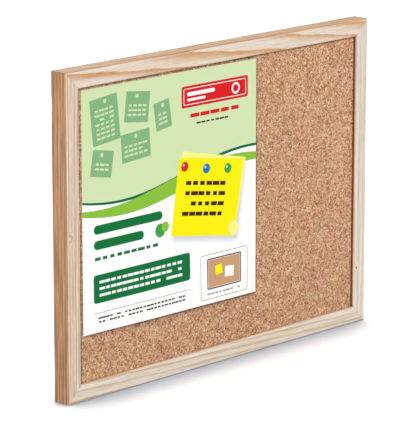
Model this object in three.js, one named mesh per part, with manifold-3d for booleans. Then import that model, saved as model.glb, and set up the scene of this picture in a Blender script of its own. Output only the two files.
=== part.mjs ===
// A framed cork notice board with cork on both sides, in millimetres, +Z up.
// The origin is the middle of the bottom rail's underside. +X runs along the board and its front looks along -Y.
import * as THREE from "three";
import { mergeVertices } from "three/addons/utils/BufferGeometryUtils.js";
import Module from "manifold-3d";

const wasm = await Module();
wasm.setup();

// Board and moulding
const boardWidth = 400;
const boardHeight = 300;
const frameDepth = 19;
const faceWidth = 16;
const outerEdgeRadius = 1.6;
const innerEdgeRadius = 1.3;
const mitreGap = 0.2;

// Panel: a fibreboard core with a cork sheet glued to each side, held in the groove of the moulding
const coreThickness = 8;
const corkThickness = 2;
const glueLine = 0.1;
const grooveFromOutside = 11;
const grooveClearance = 0.2;
const panelEdgePlay = 0.5;

// Insert card, placed from the frame's inner corner at the upper left; its height is what the margins leave
const cardWidth = 225;
const cardThickness = 0.5;
const cardFromStile = 5.3;
const cardFromTopRail = 2.7;
const cardFromBottomRail = 41.3;
const cardAirGap = 0.3;

// Corner staples, driven across the mitres from the rear
const stapleCrown = 11;
const stapleLeg = 10;
const stapleWireThickness = 0.7;
const stapleWireWidth = 1.2;
const stapleBend = 0.3;
const staplePoint = 1.4;
const stapleSink = 0.4;
const stapleClearance = 0.3;
const stapleFromEdges = 7;

// Hanger straps on the rear of the top rail, rolled round the bar of their ring
const hangerSpacing = 240;
const strapWidth = 8;
const strapThickness = 1.2;
const strapLength = 14;
const knuckleFromTop = 3;
const knuckleSeam = 0.3;
const ringPlay = 0.2;

// Hanger rings, each bent from one length of wire whose ends meet inside the knuckle
const ringWireRadius = 0.8;
const ringWidth = 12;
const ringCornerRadius = 1.5;
const ringArm = 2.5;
const ringEndGap = 0.6;

// Hanger screws, countersunk with a low dome and a cross recess
const screwFromKnuckle = 5;
const screwShankRadius = 1.25;
const screwHeadRadius = 2.3;
const screwHeadDepth = 1;
const screwDomeHeight = 0.4;
const screwLength = 13;
const screwTip = 2.5;
const screwClearance = 0.2;
const recessLength = 2.4;
const recessWidth = 0.55;
const recessDepth = 0.7;

// How finely the round forms are cut: an outline's arc gets twice its number in facets
const edgeFacets = 3;
const knuckleFacets = 10;
const wireFacets = 5;
const ringSteps = 72;
const screwSides = 32;
const domeFacets = 4;

// One overrun serves every cut that passes clean through
const overrun = 1;

// Worked out from the sizes above
const halfDepth = frameDepth / 2;
const corkCentre = coreThickness / 2 + glueLine + corkThickness / 2;
const pinSurface = corkCentre + corkThickness / 2;
const panelInset = grooveFromOutside + panelEdgePlay;
const cardHeight = boardHeight - 2 * faceWidth - cardFromTopRail - cardFromBottomRail;
const knuckleBore = ringWireRadius + ringPlay;
const knuckleRadius = knuckleBore + strapThickness;
const strapEnd = strapLength - knuckleRadius;
const stapleSeat = halfDepth + stapleWireThickness - stapleSink;

const pine = new THREE.MeshStandardMaterial({ color: 0xe2cdb2, roughness: 0.55, metalness: 0 });
const fibreboard = new THREE.MeshStandardMaterial({ color: 0x8f7657, roughness: 0.95, metalness: 0 });
const cork = new THREE.MeshStandardMaterial({ color: 0xc6986f, roughness: 0.9, metalness: 0 });
const printedCard = new THREE.MeshStandardMaterial({ color: 0xd3e6b9, roughness: 0.4, metalness: 0 });
const platedSteel = new THREE.MeshStandardMaterial({ color: 0xb9bcc0, roughness: 0.35, metalness: 1 });

// A closed geometry as a manifold-3d solid: only its positions are kept, with shared vertices merged.
function toSolid(geometry) {
  const bare = (geometry.index ? geometry.toNonIndexed() : geometry).clone();
  bare.deleteAttribute("normal");
  bare.deleteAttribute("uv");
  const merged = mergeVertices(bare);
  return new wasm.Manifold(
    new wasm.Mesh({
      numProp: 3,
      vertProperties: merged.getAttribute("position").array,
      triVerts: new Uint32Array(merged.index.array),
    }),
  );
}

// A manifold-3d solid as a flat-shaded geometry.
function toGeometry(solid) {
  const mesh = solid.getMesh();
  const shared = new THREE.BufferGeometry();
  shared.setAttribute("position", new THREE.BufferAttribute(mesh.vertProperties, mesh.numProp));
  shared.setIndex(new THREE.BufferAttribute(mesh.triVerts, 1));
  const geometry = shared.toNonIndexed();
  geometry.computeVertexNormals();
  return geometry;
}

// A blank geometry with each of the cutters taken out of it.
function cutAway(blank, cutters) {
  return toGeometry(cutters.reduce((solid, cutter) => solid.subtract(toSolid(cutter)), toSolid(blank)));
}

// A section drawn with depth (Y) to its right and height (Z) up, extruded along X about its middle.
function extrudeAlongX(section, length, curveSegments) {
  const geometry = new THREE.ExtrudeGeometry(section, { depth: length, bevelEnabled: false, curveSegments });
  geometry.translate(0, 0, -length / 2);
  geometry.applyMatrix4(new THREE.Matrix4().set(0, 0, 1, 0, 1, 0, 0, 0, 0, 1, 0, 0, 0, 0, 0, 1));
  return geometry;
}

// The moulding's section: its outer face at height zero, all four long edges eased, and the groove at the top.
function mouldingSection() {
  const outer = halfDepth - outerEdgeRadius;
  const inner = halfDepth - innerEdgeRadius;
  const shoulder = faceWidth - innerEdgeRadius;
  const grooveHalf = pinSurface + grooveClearance;
  const section = new THREE.Shape();
  section.moveTo(-outer, 0);
  section.lineTo(outer, 0);
  section.absarc(outer, outerEdgeRadius, outerEdgeRadius, -Math.PI / 2, 0, false);
  section.lineTo(halfDepth, shoulder);
  section.absarc(inner, shoulder, innerEdgeRadius, 0, Math.PI / 2, false);
  section.lineTo(grooveHalf, faceWidth);
  section.lineTo(grooveHalf, grooveFromOutside);
  section.lineTo(-grooveHalf, grooveFromOutside);
  section.lineTo(-grooveHalf, faceWidth);
  section.lineTo(-inner, faceWidth);
  section.absarc(-inner, shoulder, innerEdgeRadius, Math.PI / 2, Math.PI, false);
  section.lineTo(-halfDepth, outerEdgeRadius);
  section.absarc(-outer, outerEdgeRadius, outerEdgeRadius, Math.PI, 1.5 * Math.PI, false);
  return section;
}

// Cuts both ends of a moulding at 45 degrees: each point ends as far short of the corner as it is high.
function mitreEnds(geometry, length) {
  const places = geometry.getAttribute("position");
  const reach = length / 2 - mitreGap / Math.SQRT2;
  for (let i = 0; i < places.count; i += 1) {
    places.setX(i, Math.sign(places.getX(i)) * (reach - places.getZ(i)));
  }
  return geometry;
}

// A staple's outline, crown on top at height zero and legs hanging down; growth is the room left round it in a cut.
function stapleOutline(growth) {
  const wire = stapleWireThickness + 2 * growth;
  const half = stapleCrown / 2 + growth;
  const innerHalf = half - wire;
  const legEnd = -stapleLeg - growth;
  const pointStart = legEnd + staplePoint;
  const crownUnder = growth - wire;
  const outerBend = stapleBend + wire;
  const outline = new THREE.Shape();
  outline.moveTo(-innerHalf, pointStart);
  outline.lineTo(-innerHalf, crownUnder - stapleBend);
  outline.absarc(stapleBend - innerHalf, crownUnder - stapleBend, stapleBend, Math.PI, Math.PI / 2, true);
  outline.absarc(innerHalf - stapleBend, crownUnder - stapleBend, stapleBend, Math.PI / 2, 0, true);
  outline.lineTo(innerHalf, pointStart);
  outline.lineTo(innerHalf + wire / 2, legEnd);
  outline.lineTo(half, pointStart);
  outline.absarc(half - outerBend, growth - outerBend, outerBend, 0, Math.PI / 2, false);
  outline.absarc(outerBend - half, growth - outerBend, outerBend, Math.PI / 2, Math.PI, false);
  outline.lineTo(-half, pointStart);
  outline.lineTo(-innerHalf - wire / 2, legEnd);
  return outline;
}

// A staple lying across X, its legs along -Y.
function stapleGeometry(growth) {
  const depth = stapleWireWidth + 2 * growth;
  const options = { depth, bevelEnabled: false, curveSegments: edgeFacets };
  const geometry = new THREE.ExtrudeGeometry(stapleOutline(growth), options);
  geometry.translate(0, 0, -depth / 2);
  return geometry;
}

// The cut that a corner staple needs at one end of a moulding that is length long.
function stapleCut(length, side) {
  const cut = stapleGeometry(stapleClearance);
  cut.rotateY((-side * Math.PI) / 4);
  cut.translate(side * (length / 2 - stapleFromEdges), stapleSeat, stapleFromEdges);
  return cut;
}

// One mitred side of the frame, lying along X on its outer face, with the cuts for its two corner staples.
function mouldingGeometry(length, extraCuts = []) {
  const blank = mitreEnds(extrudeAlongX(mouldingSection(), length, edgeFacets), length);
  return cutAway(blank, [stapleCut(length, -1), stapleCut(length, 1), ...extraCuts]);
}

// A sheet of the panel, which stands in the groove all round.
function panelSheet(thickness) {
  return new THREE.BoxGeometry(boardWidth - 2 * panelInset, thickness, boardHeight - 2 * panelInset);
}

// The hanger screw's turned form, its axis along Y and the strap's front face at height zero.
function screwBlank() {
  const sphere = (screwHeadRadius ** 2 + screwDomeHeight ** 2) / (2 * screwDomeHeight);
  const profile = [
    new THREE.Vector2(0, -screwLength),
    new THREE.Vector2(screwShankRadius, screwTip - screwLength),
    new THREE.Vector2(screwShankRadius, -screwHeadDepth),
  ];
  for (let i = 0; i <= domeFacets; i += 1) {
    const radius = screwHeadRadius * (1 - i / domeFacets);
    profile.push(new THREE.Vector2(radius, Math.sqrt(sphere ** 2 - radius ** 2) - sphere + screwDomeHeight));
  }
  return new THREE.LatheGeometry(profile, screwSides);
}

// The hole that the screw needs through the strap and into the rail, with clearance all round it.
function screwCut() {
  const shank = screwShankRadius + screwClearance;
  const head = screwHeadRadius + screwClearance;
  const profile = [
    new THREE.Vector2(0, -screwLength - screwClearance),
    new THREE.Vector2(shank, screwTip - screwLength),
    new THREE.Vector2(shank, -screwHeadDepth),
    new THREE.Vector2(head, 0),
    new THREE.Vector2(head, overrun),
    new THREE.Vector2(0, overrun),
  ];
  return new THREE.LatheGeometry(profile, screwSides);
}

// One arm of the cross recess in the screw's head.
function recessArm(turn) {
  const arm = new THREE.BoxGeometry(recessLength, recessDepth + overrun, recessWidth);
  arm.translate(0, screwDomeHeight + (overrun - recessDepth) / 2, 0);
  arm.rotateY(turn);
  return arm;
}

function screwGeometry() {
  return cutAway(screwBlank(), [recessArm(0), recessArm(Math.PI / 2)]);
}

// The strap from the side: flat on the rail behind, then rolled forward and down round the ring's bar.
function strapSection() {
  const rollEnd = -Math.acos((knuckleSeam - knuckleBore) / knuckleRadius);
  const section = new THREE.Shape();
  section.moveTo(-knuckleRadius, -strapEnd);
  section.lineTo(-knuckleBore, -strapEnd);
  section.lineTo(-knuckleBore, 0);
  section.absarc(0, 0, knuckleBore, Math.PI, rollEnd, true);
  section.lineTo(knuckleRadius * Math.cos(rollEnd), knuckleRadius * Math.sin(rollEnd));
  section.absarc(0, 0, knuckleRadius, rollEnd, Math.PI, false);
  return section;
}

// The strap from the rear: straight sides and a half-round lower end, deep enough to hold the whole section.
function strapPlan() {
  const half = strapWidth / 2;
  const top = knuckleRadius + overrun;
  const depth = 2 * (knuckleRadius + overrun);
  const plan = new THREE.Shape();
  plan.moveTo(half, top);
  plan.lineTo(-half, top);
  plan.lineTo(-half, half - strapEnd);
  plan.absarc(0, half - strapEnd, half, Math.PI, 2 * Math.PI, false);
  const geometry = new THREE.ExtrudeGeometry(plan, { depth, bevelEnabled: false, curveSegments: knuckleFacets });
  geometry.translate(0, 0, -depth / 2);
  geometry.rotateX(Math.PI / 2);
  return geometry;
}

// A hanger strap about the axis of its knuckle, drilled and countersunk for the screw.
function strapGeometry() {
  const rolled = toSolid(extrudeAlongX(strapSection(), strapWidth + overrun, knuckleFacets));
  const hole = screwCut();
  hole.translate(0, -knuckleBore, -screwFromKnuckle);
  return toGeometry(rolled.intersect(toSolid(strapPlan())).subtract(toSolid(hole)));
}

// The ring's centre line in the XZ plane: half the bar, round the D, and back to the bar's middle.
class RingLine extends THREE.Curve {
  constructor() {
    super();
    const half = ringWidth / 2;
    const corner = half - ringCornerRadius;
    const bowCentre = -ringCornerRadius - ringArm;
    this.flat = new THREE.Path();
    this.flat.moveTo(ringEndGap / 2, 0);
    this.flat.lineTo(corner, 0);
    this.flat.absarc(corner, -ringCornerRadius, ringCornerRadius, Math.PI / 2, 0, true);
    this.flat.lineTo(half, bowCentre);
    this.flat.absarc(0, bowCentre, half, 0, -Math.PI, true);
    this.flat.lineTo(-half, -ringCornerRadius);
    this.flat.absarc(-corner, -ringCornerRadius, ringCornerRadius, Math.PI, Math.PI / 2, true);
    this.flat.lineTo(-ringEndGap / 2, 0);
  }

  getPoint(share, target = new THREE.Vector3()) {
    const place = this.flat.getPoint(share);
    return target.set(place.x, 0, place.y);
  }
}

// A hanger ring about the axis of its knuckle, hanging down.
function ringGeometry() {
  const wire = new THREE.Shape();
  wire.absarc(0, 0, ringWireRadius, 0, 2 * Math.PI, false);
  const options = { steps: ringSteps, curveSegments: wireFacets, extrudePath: new RingLine() };
  return new THREE.ExtrudeGeometry(wire, options);
}

function namedMesh(name, geometry, material) {
  const mesh = new THREE.Mesh(geometry, material);
  mesh.name = name;
  return mesh;
}

// The four mitred sides, each the same moulding turned about Y so that its groove looks inwards.
function buildFrame() {
  const frame = new THREE.Group();
  const pilotHeight = knuckleFromTop + screwFromKnuckle;
  const pilots = [-1, 1].map((side) => {
    const pilot = screwCut();
    pilot.translate((side * hangerSpacing) / 2, halfDepth + strapThickness, pilotHeight);
    return pilot;
  });
  const sides = [
    { name: "bottom_rail", length: boardWidth, cuts: [], turn: 0, place: [0, 0, 0] },
    { name: "top_rail", length: boardWidth, cuts: pilots, turn: Math.PI, place: [0, 0, boardHeight] },
    { name: "left_stile", length: boardHeight, cuts: [], turn: Math.PI / 2, place: [-boardWidth / 2, 0, boardHeight / 2] },
    { name: "right_stile", length: boardHeight, cuts: [], turn: -Math.PI / 2, place: [boardWidth / 2, 0, boardHeight / 2] },
  ];
  for (const { name, length, cuts, turn, place } of sides) {
    const side = namedMesh(name, mouldingGeometry(length, cuts), pine);
    side.rotation.y = turn;
    side.position.set(...place);
    frame.add(side);
  }
  return frame;
}

// One staple across each mitre.
function buildStaples() {
  const staples = new THREE.Group();
  const corners = [
    { name: "top_left_staple", side: -1, top: true },
    { name: "top_right_staple", side: 1, top: true },
    { name: "bottom_left_staple", side: -1, top: false },
    { name: "bottom_right_staple", side: 1, top: false },
  ];
  for (const { name, side, top } of corners) {
    const staple = namedMesh(name, stapleGeometry(0), platedSteel);
    staple.rotation.y = ((top ? side : -side) * Math.PI) / 4;
    staple.position.set(
      side * (boardWidth / 2 - stapleFromEdges),
      stapleSeat,
      top ? boardHeight - stapleFromEdges : stapleFromEdges,
    );
    staples.add(staple);
  }
  return staples;
}

// The core with a cork sheet on each side.
function buildPanel() {
  const panel = new THREE.Group();
  panel.position.z = boardHeight / 2;
  const front = namedMesh("front_cork_sheet", panelSheet(corkThickness), cork);
  const rear = namedMesh("rear_cork_sheet", panelSheet(corkThickness), cork);
  front.position.y = -corkCentre;
  rear.position.y = corkCentre;
  panel.add(namedMesh("core_board", panelSheet(coreThickness), fibreboard), front, rear);
  return panel;
}

// The card, which lies loose on the front cork near the upper left corner.
function buildCard() {
  const card = namedMesh("insert_card", new THREE.BoxGeometry(cardWidth, cardThickness, cardHeight), printedCard);
  card.position.set(
    faceWidth + cardFromStile + (cardWidth - boardWidth) / 2,
    -pinSurface - cardAirGap - cardThickness / 2,
    boardHeight - faceWidth - cardFromTopRail - cardHeight / 2,
  );
  return card;
}

// A strap, its ring and its screw, about the axis of the knuckle.
function buildHanger(name, side) {
  const hanger = new THREE.Group();
  const screw = namedMesh(`${name}_hanger_screw`, screwGeometry(), platedSteel);
  screw.position.set(0, -knuckleBore, -screwFromKnuckle);
  hanger.position.set((side * hangerSpacing) / 2, halfDepth + knuckleRadius, boardHeight - knuckleFromTop);
  hanger.add(
    namedMesh(`${name}_hanger_strap`, strapGeometry(), platedSteel),
    namedMesh(`${name}_hanger_ring`, ringGeometry(), platedSteel),
    screw,
  );
  return hanger;
}

const board = new THREE.Group();
board.add(buildFrame(), buildStaples(), buildPanel(), buildCard());
board.add(buildHanger("left", -1), buildHanger("right", 1));

export default board;
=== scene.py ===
"""A framed cork notice board with an insert card, dressed for a studio picture.

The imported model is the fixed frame. Lengths here are in millimetres in its axes: +X along the board, +Z up,
and the front looks along -Y. They become metres where a mesh is made; the studio and the camera are in metres.
"""

from __future__ import annotations

import functools
import logging
import math
from dataclasses import dataclass, field
from enum import Enum

import bpy
import numpy as np
from mathutils import Matrix, Vector, noise

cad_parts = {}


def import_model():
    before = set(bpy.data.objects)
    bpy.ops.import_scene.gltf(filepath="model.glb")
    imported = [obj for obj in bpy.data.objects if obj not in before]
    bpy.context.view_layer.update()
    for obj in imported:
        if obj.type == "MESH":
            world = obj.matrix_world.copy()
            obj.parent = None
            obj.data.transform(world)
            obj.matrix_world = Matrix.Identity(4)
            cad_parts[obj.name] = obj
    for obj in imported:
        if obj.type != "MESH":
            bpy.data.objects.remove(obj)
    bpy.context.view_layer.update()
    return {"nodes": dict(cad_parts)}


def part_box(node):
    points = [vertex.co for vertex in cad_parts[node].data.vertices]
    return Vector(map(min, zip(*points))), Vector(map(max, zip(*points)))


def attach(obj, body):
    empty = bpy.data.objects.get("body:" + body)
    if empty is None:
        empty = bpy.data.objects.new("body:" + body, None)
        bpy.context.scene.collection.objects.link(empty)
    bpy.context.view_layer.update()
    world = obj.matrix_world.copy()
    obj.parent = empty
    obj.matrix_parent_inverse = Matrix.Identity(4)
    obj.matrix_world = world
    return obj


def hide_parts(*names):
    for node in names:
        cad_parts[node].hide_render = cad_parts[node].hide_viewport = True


MM = 0.001
BOARD = "board"
PRINT_BLUR = 0.12
CLEAN_WHITE = (1.0, 1.0, 1.0, 1.0)

log = logging.getLogger("cork_board")

Pair = tuple[float, float]
Point = tuple[float, float, float]
Colour = tuple[float, float, float, float]
Material = bpy.types.Material
Object = bpy.types.Object
Socket = bpy.types.NodeSocket
Value = float | Socket
Place = tuple[Socket, Socket, Socket]
Stops = tuple[tuple[float, Colour], ...]
Outline = list[Pair]
Shape = tuple[np.ndarray, list[tuple[int, ...]]]


def paint(red: float, green: float, blue: float) -> Colour:
    """Turn a screen colour into the shader's linear one.

    Args:
        red: Screen value from 0 to 255.
        green: Screen value from 0 to 255.
        blue: Screen value from 0 to 255.

    Returns:
        The linear colour with full opacity.
    """

    def linear(screen: float) -> float:
        """Undo the screen's curve for one channel."""
        share = screen / 255
        return share / 12.92 if share <= 0.04045 else ((share + 0.055) / 1.055) ** 2.4

    return linear(red), linear(green), linear(blue), 1.0


class Graph:
    """A node tree, written as expressions that hand back sockets."""

    def __init__(self, owner: Material | bpy.types.World) -> None:
        """Start an empty tree.

        Args:
            owner: The material or the world that the tree belongs to.
        """
        owner.use_nodes = True
        self.owner = owner
        self.nodes = owner.node_tree.nodes
        self.links = owner.node_tree.links
        self.nodes.clear()

    def add(
        self, kind: str, inputs: dict[str | int, object] | None = None, **settings: object
    ) -> bpy.types.Node:
        """Add a node.

        Args:
            kind: The node's type name.
            inputs: Values or sockets for its inputs, by name or place.
            settings: Properties of the node.

        Returns:
            The new node.
        """
        node = self.nodes.new(kind)
        for key, setting in settings.items():
            setattr(node, key, setting)
        for key, value in (inputs or {}).items():
            if isinstance(value, Socket):
                self.links.new(value, node.inputs[key])
            else:
                node.inputs[key].default_value = value
        return node

    def math(self, operation: str, *values: Value, clamp: bool = False) -> Socket:
        """Return one sum on plain numbers."""
        inputs = dict(enumerate(values))
        return self.add("ShaderNodeMath", inputs, operation=operation, use_clamp=clamp).outputs[0]

    def times(self, *values: Value) -> Socket:
        """Return the product of two or more numbers."""
        return functools.reduce(lambda first, second: self.math("MULTIPLY", first, second), values)

    def plus(self, first: Value, second: Value) -> Socket:
        """Return the sum of two numbers."""
        return self.math("ADD", first, second)

    def minus(self, first: Value, second: Value) -> Socket:
        """Return the first number less the second."""
        return self.math("SUBTRACT", first, second)

    def scaled(self, value: Value, factor: Value, shift: Value) -> Socket:
        """Return a number times a factor, plus a shift."""
        return self.math("MULTIPLY_ADD", value, factor, shift)

    def larger(self, first: Value, second: Value) -> Socket:
        """Return the larger of two numbers."""
        return self.math("MAXIMUM", first, second)

    def apart(self, first: Value, second: Value) -> Socket:
        """Return how far two numbers lie apart."""
        return self.math("ABSOLUTE", self.minus(first, second))

    def vector(self, operation: str, *values: Socket | Point) -> Socket:
        """Return one sum on vectors, which is a number for DOT_PRODUCT and LENGTH."""
        outputs = self.add("ShaderNodeVectorMath", dict(enumerate(values)), operation=operation).outputs
        return outputs["Value" if operation in ("DOT_PRODUCT", "LENGTH") else "Vector"]

    def join(self, x: Value, y: Value, z: Value) -> Socket:
        """Return a vector made of three numbers."""
        return self.add("ShaderNodeCombineXYZ", {0: x, 1: y, 2: z}).outputs[0]

    def split(self, vector: Socket) -> Place:
        """Return the three numbers of a vector."""
        return tuple(self.add("ShaderNodeSeparateXYZ", {0: vector}).outputs)

    def millimetres(self) -> Socket:
        """Return the place on the piece in millimetres of the model's axes."""
        place = self.add("ShaderNodeTexCoord").outputs["Object"]
        return self.vector("MULTIPLY", place, (1 / MM,) * 3)

    def smooth(self, value: Value, low: float, high: float, start: float = 0.0, end: float = 1.0) -> Socket:
        """Ease a number from one value to another.

        Args:
            value: What decides.
            low: Where the change begins.
            high: Where it ends.
            start: The result below low.
            end: The result above high.

        Returns:
            The eased number.
        """
        inputs = {0: value, 1: low, 2: high, 3: start, 4: end}
        return self.add("ShaderNodeMapRange", inputs, interpolation_type="SMOOTHSTEP").outputs[0]

    def cloud(self, place: Socket, scale: float, detail: float = 2.0, roughness: float = 0.5) -> Socket:
        """Return soft noise from about 0 to 1; scale is in turns per unit of place."""
        inputs = {"Vector": place, "Scale": scale, "Detail": detail, "Roughness": roughness}
        return self.add("ShaderNodeTexNoise", inputs).outputs[0]

    def grain(
        self, place: Place, pull: float, scale: float, detail: float = 2.0, roughness: float = 0.5
    ) -> Socket:
        """Return soft noise that runs along a rail: pull is its scale along the rail over that across."""
        along, across, depth = place
        return self.cloud(self.join(self.times(along, pull), across, depth), scale, detail, roughness)

    def cells(self, place: Socket, scale: float, feature: str = "F1") -> bpy.types.Node:
        """Return a node of random cells; scale is in cells per unit of place."""
        inputs = {"Vector": place, "Scale": scale, "Randomness": 1.0}
        return self.add("ShaderNodeTexVoronoi", inputs, feature=feature)

    def blend(
        self, share: Value, first: Socket | Colour, second: Socket | Colour, mode: str = "MIX"
    ) -> Socket:
        """Blend two colours.

        Args:
            share: How much of the second colour shows.
            first: The colour below.
            second: The colour on top.
            mode: The kind of blend.

        Returns:
            The blended colour.
        """
        node = self.add("ShaderNodeMix", {0: share, 6: first, 7: second}, data_type="RGBA", blend_type=mode)
        return node.outputs[2]

    def layered(self, base: Socket | Colour, *layers: tuple[Value, Socket | Colour]) -> Socket:
        """Return a colour with others laid over it, each by its share."""
        return functools.reduce(lambda below, layer: self.blend(layer[0], below, layer[1]), layers, base)

    def shaded(self, colour: Socket, shade: Socket) -> Socket:
        """Return a colour times a shade."""
        return self.blend(1.0, colour, self.join(shade, shade, shade), "MULTIPLY")

    def ramp(self, value: Value, stops: Stops) -> Socket:
        """Look a number up in a row of colours.

        Args:
            value: What decides, from 0 to 1.
            stops: Places with their colours, in order.

        Returns:
            The colour between the two stops that the number falls between.
        """
        node = self.add("ShaderNodeValToRGB", {0: value})
        elements = node.color_ramp.elements
        while len(elements) < len(stops):
            elements.new(1.0)
        for element, (place, colour) in zip(elements, stops):
            element.position = place
            element.color = colour
        return node.outputs[0]

    def relief(self, height: Socket, depth: float, strength: float = 1.0) -> Socket:
        """Return a normal bent by a height from 0 to 1 that stands for depth millimetres."""
        inputs = {"Height": height, "Distance": depth * MM, "Strength": strength}
        return self.add("ShaderNodeBump", inputs).outputs[0]

    def clearance(self, reach: float, samples: int) -> Socket:
        """Return how much of what lies around within reach, in metres, is clear, from 0 to 1."""
        return self.add("ShaderNodeAmbientOcclusion", {"Distance": reach}, samples=samples).outputs["AO"]

    def seen(self) -> Socket:
        """Tell the rays of the eye, of gloss and of glass from all others.

        Returns:
            1 for them and 0 for the others.
        """
        path = self.add("ShaderNodeLightPath").outputs
        mirrored = self.larger(path["Is Glossy Ray"], path["Is Transmission Ray"])
        return self.larger(path["Is Camera Ray"], mirrored)

    def surface(self, **inputs: object) -> Material:
        """Finish the tree with one shader.

        Args:
            inputs: The shader's inputs, with an underscore for each space in their names.

        Returns:
            The finished material.
        """
        named = {key.replace("_", " "): value for key, value in inputs.items()}
        shader = self.add("ShaderNodeBsdfPrincipled", named)
        self.add("ShaderNodeOutputMaterial", {"Surface": shader.outputs[0]})
        return self.owner


@dataclass(frozen=True)
class RailLine:
    """Where one side of the frame lies.

    Attributes:
        middle: The middle of its outer face.
        along: The way along it.
        inward: The way from its outer face to the panel.
        length: Its length over both points of its mitres.
        half_depth: Half the frame's depth.
    """

    middle: Point
    along: Point
    inward: Point
    length: float
    half_depth: float

    def place(self, along: float, depth: float, across: float) -> Vector:
        """Return the point so far along the rail, behind the board's mid-plane and in from its outer face."""
        start = Vector(self.middle) + Vector(self.along) * along
        return start + Vector((0, depth, 0)) + Vector(self.inward) * across

    def coordinates(self, graph: Graph) -> Place:
        """Measure a place in the rail's own directions.

        Args:
            graph: The node tree to add to.

        Returns:
            How far along the rail it is, how far in from the outer face, and how far behind the front face.
        """
        offset = graph.vector("SUBTRACT", graph.millimetres(), self.middle)
        along, across, depth = (
            graph.vector("DOT_PRODUCT", offset, way)
            for way in (self.along, self.inward, (0.0, 1.0, 0.0))
        )
        return along, across, graph.plus(depth, self.half_depth)


@dataclass(frozen=True)
class Knot:
    """A small knot that runs from the front of a rail to its rear.

    Attributes:
        along: Its place along the rail.
        across: Its distance from the outer face.
        radius: The radius of its dark heart.
        strength: How dark the heart is, from 0 to 1.
    """

    along: float
    across: float
    radius: float
    strength: float


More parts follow.
